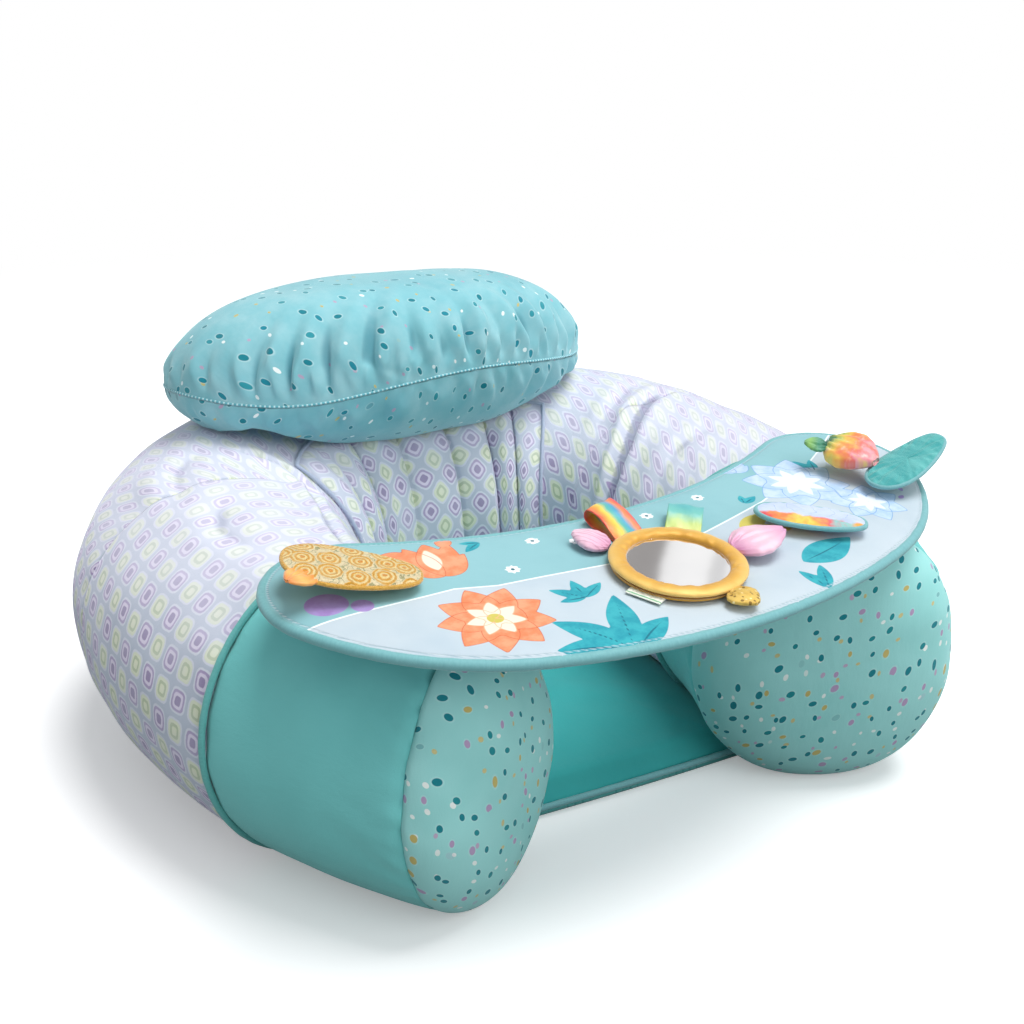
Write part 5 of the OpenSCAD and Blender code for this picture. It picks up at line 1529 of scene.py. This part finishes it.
# The mirror: backing, padded rim and film
def mirror():
    turn = rounds(260)
    profile = [(MIRROR_R - inwards, up) for inwards, up in RIM_PROFILE]
    span = np.concatenate([[0], np.cumsum(np.linalg.norm(np.diff(profile, axis=0), axis=1))])
    f = np.linspace(0, span[-1], 42)
    r, z = (np.interp(f, span, [p[k] for p in profile]) for k in range(2))
    rr, aa = r[:, None] + 0 * turn[None], turn[None]
    puckers = wrinkles(aa * 38 + 0 * rr, rr - (MIRROR_R - MIRROR_RIM_W), 7.0, 0.42, 7.0, 71, 0.5)
    outer = wrinkles(aa * 44 + 0 * rr, MIRROR_R - rr, 9.0, 0.35, 5.0, 72, 0.5)
    zz = z[:, None] + (puckers + outer) * np.clip(z[:, None] / 2.5, 0, 1)
    points = placing(MIRROR_AT, (0, 0, MIRROR_T))(np.stack([rr * np.cos(aa), rr * np.sin(aa), zz], -1))
    uv = np.stack([aa * 40 * MM + 0 * rr, f[:, None] * MM + 0 * rr], -1).reshape(-1, 2)
    faces = grid_faces(len(f), len(turn), close_u=True, close_v=True, flip=True)
    dress(make("mirror_rim_satin", points.reshape(-1, 3), faces, GOLD_SATIN, "mirror", uv=uv),
          "gold_satin", "mirror_rim", fill=0.7)

    disc = MIRROR_R - MIRROR_RIM_W + 0.2
    r, a = np.meshgrid(np.linspace(0.4, disc, 60), rounds(160), indexing="ij")
    x, y = r * np.cos(a), r * np.sin(a)
    sag = 0.75 + 0.03 * np.sin(x / 17 + 0.6) * np.cos(y / 15 - 0.4)
    points, faces = closed_disc(np.stack([x, y, sag], -1), np.stack([x, y, 0.1 + 0 * x], -1))
    raised = placing(MIRROR_AT, (0, 0, MIRROR_T))(points)
    obj = dress(make("mirror_film_sheet", raised, faces, MIRROR_FILM, "mirror", uv=points[:, :2] * MM),
                "mirror_film", "mirror_film")

    r, a = np.meshgrid(np.linspace(1, MIRROR_R - 2, 40), rounds(160), indexing="ij")
    edge = np.clip((MIRROR_R - 2 - r) / 2.5, 0, 1) ** 0.5
    x, y = r * np.cos(a), r * np.sin(a)
    top = np.stack([x, y, MIRROR_T - 1.2 * (1 - edge)], -1)
    low = np.stack([x, y, 1.2 * (1 - edge) + 0.15 * np.sin(x / 9) * np.sin(y / 8) * edge + 0.15], -1)
    n = r.size
    points = np.concatenate([top.reshape(-1, 3), low.reshape(-1, 3)])
    faces = grid_faces(40, 160, close_v=True) + grid_faces(40, 160, n, close_v=True, flip=True)
    rim = np.arange(n - 160, n)
    faces += band(rim, rim + n) + [list(range(160))[::-1], list(range(n, n + 160))]
    dress(make("mirror_backing_cloth", placing(MIRROR_AT)(points), faces, GOLD_PLAIN, "mirror",
               uv=points[:, :2] * MM),
          "gold_satin", "mirror_backing", fill=0.6)


mirror()
strip("rainbow_ribbon_loop", at_mirror_edge(92, -0.4, 1.6), loop_path(38, 12), 24, RAINBOW, "tray",
      "rainbow_satin", "rainbow_ribbon", twist=24, flare=0.12, seed=5)
strip("satin_loop_ribbon", at_mirror_edge(46, -0.4, 1.6), loop_path(32, 11), 24, LOOP_SATIN, "tray",
      "teal_satin", "satin_loop", seed=9)
leaf_piece("petal_left_satin", at_mirror_edge(123, 3.6, 1.2, ("X", 8)), 26, 24, 8, PINK_LINED, "tray",
           "pink_satin", "petal_left", seed=3, gather=1.1)
leaf_piece("petal_right_satin", at_mirror_edge(-6, 6, -2, ("X", 10)), 40, 34, 9, PINK, "mirror",
           "pink_satin", "petal_right", seed=4, gather=1.5)
leaf_piece("gold_tab_plush", at_mirror_edge(-80, 4), 20, 24, 6, GOLD_SPECKLED, "mirror",
           "gold_satin", "mirror_gold_tab", seed=6, gather=0.8)


def crinkle_tab():
    x, y = np.meshgrid(np.linspace(-12, 12, 60), np.linspace(-6, 6, 36), indexing="ij")
    edge = np.minimum(12 - np.abs(x), 6 - np.abs(y))
    swell = np.interp(edge, [0, 1, 2.4], [0.25, 0.85, 1.0])
    bumps = 0.16 * np.sin(x * 1.3 + np.sin(y * 2)) * np.sin(y * 1.7 + x * 0.4) * np.minimum(1, edge / 2)
    put = at_mirror_edge(204, 0.2)
    top, low = (np.stack([x, y, 0.8 + side * (0.72 * swell + bumps)], -1) for side in (1, -1))
    points, faces, uv = skins((put(top), put(low), x, y))
    obj = dress(make("crinkle_tab_cloth", points, faces, CRINKLE, "mirror", uv=uv),
                "crinkle_cloth", "mirror_crinkle_tab")


crinkle_tab()

# Each flap: where it lies, and its length, width, how pointed it is and how far its ends curl up
LEAF_AT = ((-210, -15, RISE + 3.8), ("Z", -26), (42, 0, 0), ("Y", 9))
LEAF, LEAF_PLAN = placing(*LEAF_AT, (-42, 0, 2)), (84, 56, 0.4, 1.2)
WING_AT = ((182, -58, RISE + 4.6), ("Z", 7), ("Y", -15))
WING, WING_PLAN = placing(*WING_AT, (39, -14, 2)), (78, 40, 0.4, 2.0)
PETAL = placing((105, -86, RISE + 3.6), ("Z", -44), (0, 21, 0), ("X", -5), (0, -21, 1))
PETAL_PLAN = (74, 42, 0.2, 0.5)
flap_piece("leaf_flap_plush", LEAF, LEAF_PLAN, 8, GOLD_PLUSH, "leaf_flap", "gold_plush", "leaf_flap", 61, 0.5)
flap_rim("leaf_flap_overlock", LEAF, LEAF_PLAN, 1.5, GOLD_EDGE, "leaf_flap", "gold_plush")
leaf_piece("leaf_flap_satin_fold", placing(*LEAF_AT, (-66, -12, 2), ("Z", 140), ("X", 8)), 24, 20, 5,
           ORANGE_SATIN, "leaf_flap", "gold_plush", seed=14, gather=1.4)
flap_piece("wing_flap_velvet", WING, WING_PLAN, 8, VELVET, "wing", "teal_velvet", "wing_flap", 62, 1.1)
flap_rim("wing_flap_piping", WING, WING_PLAN, 1.6, AQUA_CORD, "wing", "aqua_piping")
leaf_piece("wing_roll_ruffle", placing(*WING_AT, (9, 35, 12), ("Z", 38), ("X", 14)), 17, 17, 5,
           GREEN_SATIN, "wing", "tie_dye_satin", seed=15, gather=1.8)
leaf_piece("wing_roll_satin", placing(*WING_AT, (18, 40, 9), ("Z", 180)), 42, 40, 18,
           TIE_DYE, "wing", "tie_dye_satin", "wing_ribbon_roll", seed=8, gather=2.2, fill=0.8)
flap_piece("petal_flap_cloth", PETAL, PETAL_PLAN, 7, PETAL_CLOTH, "petal_flap", "tray_cloth", "petal_flap",
           63, 0.6)
flap_rim("petal_flap_piping", PETAL, PETAL_PLAN, 1.8, AQUA_CORD, "petal_flap", "aqua_piping")

# ---------------------------------------------------------------- fastenings
HINGE_V, HINGE_DROP, HEM_R, STRAP_X, TRAY_STRAP_W, TRAY_STRAP_T = -112.0, 12.6, 2.2, 126.0, 30.0, 1.6
STRAP_FEET, HEM_OVER, SLEEVE_W = (-198.0, -176.0), 8.0, 6.4
LOOP_S, LOOP_A, LOOP_SIZE = (470.0, 512.0), (76.0, 104.0), (42, 48)
HOOK_X, HOOK_HALF, HOOK_FRONT, HOOK_REAR = 186.0, 20, -14, 20


def tray_strap(side, name):
    """Webbing from the arm's top to the rolled hem that the tray turns on."""
    u, f = np.meshgrid(np.linspace(-1, 1, 40), np.linspace(0, 1, 90), indexing="ij")
    tx = side * STRAP_X + u * TRAY_STRAP_W / 2
    start = on_tray(tx, HINGE_V + 1.4, -HINGE_DROP - TRAY_STRAP_T / 2)
    ends = []
    for y in STRAP_FEET:
        x = tx - TRAY_LEFT
        ends.append(np.stack([x, y + 0 * x, tube_top(x, y + 0 * x) + 0.3], -1))
    knee = 0.72
    first = start + (ends[0] - start) * (f / knee).clip(0, 1)[..., None]
    low = first + (ends[1] - ends[0]) * ((f - knee) / (1 - knee)).clip(0, 1)[..., None]
    over = tube_top(low[..., 0], low[..., 1])
    low[..., 2] = np.where(over > 0, np.maximum(low[..., 2], over + 0.3), low[..., 2])
    lift = np.stack([0 * f, 0 * f, TRAY_STRAP_T * (0.8 + 0.1 * np.sin(f * 60) * np.sin(u * 8))], -1)
    length = path_sum(low[20])
    points, faces, uv = skins((low + lift, low, u * TRAY_STRAP_W / 2, f * length))
    obj = dress(make(f"tray_strap_{name}_webbing", points, faces, WEBBING_TEAL, "seat", uv=uv),
                "teal_cloth", "tray_strap_" + name)
    half = TRAY_STRAP_W / 2 + HEM_OVER
    line = on_tray(side * STRAP_X + np.linspace(-half, half, 60), HINGE_V, -HINGE_DROP)
    hem = f"tray_strap_{name}_webbing_hem"
    dress(cord_mesh(hem, line, HEM_R, WEBBING_TEAL, "seat", closed=False, wobble=0.04), "teal_cloth")


for side, name in SIDES:
    tray_strap(side, name)


def sleeve_loops():
    """Four cloth loops under the tray, round the ends of the hems."""
    turn = np.radians(np.linspace(118, 422, 40))
    ring = np.stack([3.25 * np.cos(turn), 3.25 * np.sin(turn)], -1)
    web = HINGE_DROP - FALL + 0.3
    path = np.concatenate([[[-1.55, web], [-1.55, web * 0.85]], ring, [[1.55, web * 0.85], [1.55, web]]])
    along = np.gradient(path, axis=0)
    along /= np.linalg.norm(along, axis=1)[:, None]
    out = np.stack([along[:, 1], -along[:, 0]], -1)
    parts = []
    for side, end in ((-1, -1), (-1, 1), (1, -1), (1, 1)):
        x = side * STRAP_X + end * (TRAY_STRAP_W + HEM_OVER) / 2 + np.linspace(-1, 1, 12) * SLEEVE_W / 2
        grids = [on_tray(x[None], HINGE_V + line[:, :1], line[:, 1:] - HINGE_DROP)
                 for line in (path + out * 0.55, path - out * 0.55)]
        parts.append((*grids, x[None], np.arange(len(path))[:, None] * 0.5))
    points, faces, uv = skins(*parts)
    obj = dress(make("tray_tab_loops", points, faces, WEBBING_AQUA, "tray", uv=uv),
                "aqua_piping", "tray_tabs")
    length = path_sum(path)


sleeve_loops()


def arm_patch(side, name):
    """Loop pile sewn on the arm's top."""
    s, a = np.meshgrid(np.linspace(*LOOP_S, 50), np.linspace(*LOOP_A, 46), indexing="ij")
    us = (s - LOOP_S[0]) / (LOOP_S[1] - LOOP_S[0]) * LOOP_SIZE[0]
    ua = (a - LOOP_A[0]) / (LOOP_A[1] - LOOP_A[0]) * LOOP_SIZE[1]
    edge = np.minimum(np.minimum(us, LOOP_SIZE[0] - us), np.minimum(ua, LOOP_SIZE[1] - ua))
    high = (0.5 + 1.6 * np.interp(edge, [0, 0.8, 2], [0.35, 0.85, 1.0])
            - 0.35 * np.exp(-((edge - 3) / 0.8) ** 2))
    grids = [tube(side * s, a, high)[::side], tube(side * s, a, 0.5)[::side]]
    points, faces, uv = skins((*grids, us[::side], ua[::side]))
    dress(make(f"arm_patch_{name}_pile", points, faces, PILE, "seat", uv=uv),
          "hook_and_loop", "arm_loop_patch_" + name, fill=0.2)


for side, name in SIDES:
    arm_patch(side, name)


def hook_patches():
    """Hook tape under the tray's ends, with its line of sewing sunk in."""
    x, v = np.meshgrid(np.linspace(-HOOK_HALF, HOOK_HALF, 60), np.linspace(HOOK_FRONT, HOOK_REAR, 52),
                       indexing="ij")
    edge = np.minimum(HOOK_HALF - np.abs(x), np.minimum(v - HOOK_FRONT, HOOK_REAR - v))
    low = (-(FALL - 0.2) - 2 * np.interp(edge, [0, 0.8, 2], [0.5, 0.9, 1.0])
           + 0.4 * np.exp(-((edge - 3) / 0.7) ** 2))
    points, faces, uv = skins(*((on_tray(at + x, v, 0.2 - FALL), on_tray(at + x, v, low), x, v)
                                for at in (-HOOK_X, HOOK_X)))
    dress(make("tray_hook_tape", points, faces, HOOKS, "tray", uv=uv),
          "hook_and_loop", "tray_hook_patches", fill=0.2)


hook_patches()

# Bottom cloth with the zip's slot, and the zip's tapes
ZIP_L, ZIP_Y, ZIP_Z, ZIP_MARGIN, ZIP_SLOT_W = 190.0, 60.0, 2.0, 8.0, 10.0


def bottom_cloth():
    outline = base_ring(BOTTOM_T)[::2, :2]
    slot_half, w = ZIP_L / 2 + ZIP_MARGIN, ZIP_SLOT_W / 2
    sx = np.linspace(-slot_half, slot_half, 42)
    hole = np.concatenate([np.stack([sx, 0 * sx + ZIP_Y - w], -1),
                           np.stack([sx[::-1], 0 * sx + ZIP_Y + w], -1)])
    low, high = outline.min(0), outline.max(0)
    gx, gy = np.meshgrid(np.arange(low[0], high[0], 6.0), np.arange(low[1], high[1], 6.0), indexing="ij")
    inner = np.stack([gx.ravel(), gy.ravel()], -1)
    near_hole = (np.abs(inner[:, 0]) < slot_half + 3) & (np.abs(inner[:, 1] - ZIP_Y) < w + 3)
    inner = inner[(signed_distance(inner[:, 0], inner[:, 1], outline) > 3) & ~near_hole]
    flat = np.concatenate([outline, hole, inner])
    n_out, n_hole = len(outline), len(hole)
    edges = [(k, (k + 1) % n_out) for k in range(n_out)]
    edges += [(n_out + k, n_out + (k + 1) % n_hole) for k in range(n_hole)]
    verts, _, tris, *_ = delaunay_2d_cdt([Vector(p) for p in flat], edges, [], 0, 1e-5)
    p = np.array([tuple(v) for v in verts])
    mid = np.array([p[list(t)].mean(0) for t in tris])
    in_slot = (np.abs(mid[:, 0]) < slot_half) & (np.abs(mid[:, 1] - ZIP_Y) < w)
    keep = (signed_distance(mid[:, 0], mid[:, 1], outline) > 0) & ~in_slot
    tris = [list(t) for t, k in zip(tris, keep) if k]
    wave = 0.16 + 0.14 * np.sin(p[:, 0] / 23) * np.sin(p[:, 1] / 19)
    n = len(p)
    points = np.concatenate([np.column_stack([p, np.full(n, BOTTOM_T - 0.02)]), np.column_stack([p, wave])])
    faces = tris + [[k + n for k in t[::-1]] for t in tris]
    steps = dict.fromkeys((i, j) for t in tris for i, j in zip(t, t[1:] + t[:1]))
    faces += [[j, i, i + n, j + n] for i, j in steps if (j, i) not in steps]
    dress(make("bottom_cloth_panel", points, faces, BOTTOM, "seat", uv=np.concatenate([p, p]) * MM),
          "teal_cloth", "base_cloth", fill=0.1)


bottom_cloth()


def zip_tapes():
    tape_w, tape_t, half = 2.4, 0.6, (ZIP_L + 2 * ZIP_MARGIN - 2) / 2
    x, v = np.meshgrid(np.linspace(-half, half, 160), np.linspace(-1, 1, 8) * tape_w / 2, indexing="ij")
    rib = 0.08 * np.sin(x * 2.6)
    parts = []
    for side in (-1, 1):
        y = ZIP_Y + side * (ZIP_SLOT_W - tape_w) / 2 + v
        parts.append([np.stack([x, y, ZIP_Z + up * tape_t / 2 + rib], -1) for up in (1, -1)] + [x, v])
    points, faces, uv = skins(*parts)
    obj = dress(make("zip_tape_cloth", points, faces, ZIP_CLOTH, "seat", uv=uv),
                "zip_cloth", "zip_tape")


zip_tapes()

# These nodes keep their shape and get their own finish
for node, finish in (("air_chamber", CHAMBER), ("valve_body", VALVE), ("valve_cap", VALVE),
                     ("zip_coil", COIL), ("zip_slider", SLIDER)):
    for slot in bpy.data.objects[node].material_slots:
        slot.material = finish

# ---------------------------------------------------------------- studio
CAMERA_TURN, CAMERA_LIFT, CAMERA_FAR = -32.12, 20.76, 1.0762
CAMERA_AIM = Vector((-0.00253, -0.03286, 0.180))
LENS = 48.477
WHITE = (1, 1, 1, 1)
AMBIENT = 0.45
# The floor: half its side, how much it glows for the camera, and where it fades to white, in metres
FLOOR_HALF, FLOOR_LIFT, FLOOR_FADES = 9.0, 0.26, (0.75, 2.2)
# White walls with grey gaps between the lamps' panels, which only glossy surfaces show
PANELS_ALONG = (0.846, -0.533, 0.15)
PANELS_PER_UNIT, PANELS_SHIFT = 11.0, -0.95
PANELS = [(0.0, (1, 1, 1)), (0.155, (1, 1, 1)), (0.185, (0.74, 0.74, 0.74)), (0.28, (0.70, 0.70, 0.71)),
          (0.305, (1, 1, 1)), (0.42, (1, 1, 1)), (0.45, (0.37, 0.355, 0.345)), (0.75, (0.34, 0.325, 0.32)),
          (0.80, (0.95, 0.95, 0.95)), (1.0, (1, 1, 1))]


def place_camera():
    a, e = math.radians(CAMERA_TURN), math.radians(CAMERA_LIFT)
    away = Vector((math.sin(a) * math.cos(e), -math.cos(a) * math.cos(e), math.sin(e)))
    data = bpy.data.cameras.new("camera")
    data.lens, data.sensor_width = LENS, 36
    cam = bpy.data.objects.new("camera", data)
    cam.location = CAMERA_AIM + away * CAMERA_FAR
    cam.rotation_euler = away.to_track_quat("Z", "Y").to_euler()
    bpy.context.scene.collection.objects.link(cam)
    bpy.context.scene.camera = cam


def soft_light(name, towards, strength, spread):
    """A wide distant light that comes from a direction, so that the floor is lit evenly."""
    data = bpy.data.lights.new(name, "SUN")
    data.energy, data.angle = strength, math.radians(spread)
    obj = bpy.data.objects.new(name, data)
    obj.location = Vector(towards).normalized() * 2
    obj.rotation_euler = Vector(towards).to_track_quat("Z", "Y").to_euler()
    bpy.context.scene.collection.objects.link(obj)


def studio():
    """Pale walls for the lamps' light, white ones for the camera, and panels for what is glossy."""
    world = bpy.data.worlds.new("studio")
    bpy.context.scene.world = world
    world.use_nodes = True
    m = Nodes(world.node_tree)
    light = m.tree.nodes["Background"]
    m.feed(light, "Color", (0.93, 0.96, 1.0, 1))
    m.feed(light, "Strength", AMBIENT)
    rays = m.node("LightPath", {}, None)
    tilt = m.node("VectorMath", {0: m.node("TexCoord", {}, "Generated"), 1: PANELS_ALONG}, "Value",
                  operation="DOT_PRODUCT")
    panels = m.ramp(m.fract(m.times_plus(tilt, PANELS_PER_UNIT, PANELS_SHIFT)), PANELS)
    seen = m.node("Background", {"Color": m.mix(rays["Is Glossy Ray"], WHITE, panels), "Strength": 1.0})
    plain = m.math("MAXIMUM", rays["Is Camera Ray"], rays["Is Glossy Ray"])
    both = m.node("MixShader", {0: plain, 1: light.outputs[0], 2: seen})
    m.feed(m.tree.nodes["World Output"], 0, both)
    soft_light("key", (0.46, -0.18, 1.6), 2.45, 34)
    soft_light("fill", (0.42, -1.3, 0.85), 0.85, 46)

    floor = bpy.data.meshes.new("floor")
    h = FLOOR_HALF
    floor.from_pydata([(-h, -h, 0), (h, -h, 0), (h, h, 0), (-h, h, 0)], [], [(0, 1, 2, 3)])
    obj = bpy.data.objects.new("floor", floor)
    bpy.context.scene.collection.objects.link(obj)
    m = Shader("floor", rough=1.0, specular=0.0)
    seen = m.node("LightPath", {}, "Is Camera Ray")
    m.colour(m.mix(seen, "#8d9494", "#f7f7f7"))
    centre = m.node("VectorMath", {0: m.place()}, "Value", operation="LENGTH")
    lift = m.times(seen, FLOOR_LIFT)
    m.set("Emission Color", WHITE)
    m.set("Emission Strength", lift)
    far = m.node("Emission", {"Color": WHITE, "Strength": 1.0})
    mixed = m.node("MixShader", {0: m.step(centre, *FLOOR_FADES), 1: m.bsdf.outputs[0], 2: far})
    m.feed(m.tree.nodes["Material Output"], 0, mixed)
    floor.materials.append(m.material)


place_camera()
studio()
bpy.context.scene.view_settings.view_transform = "Standard"
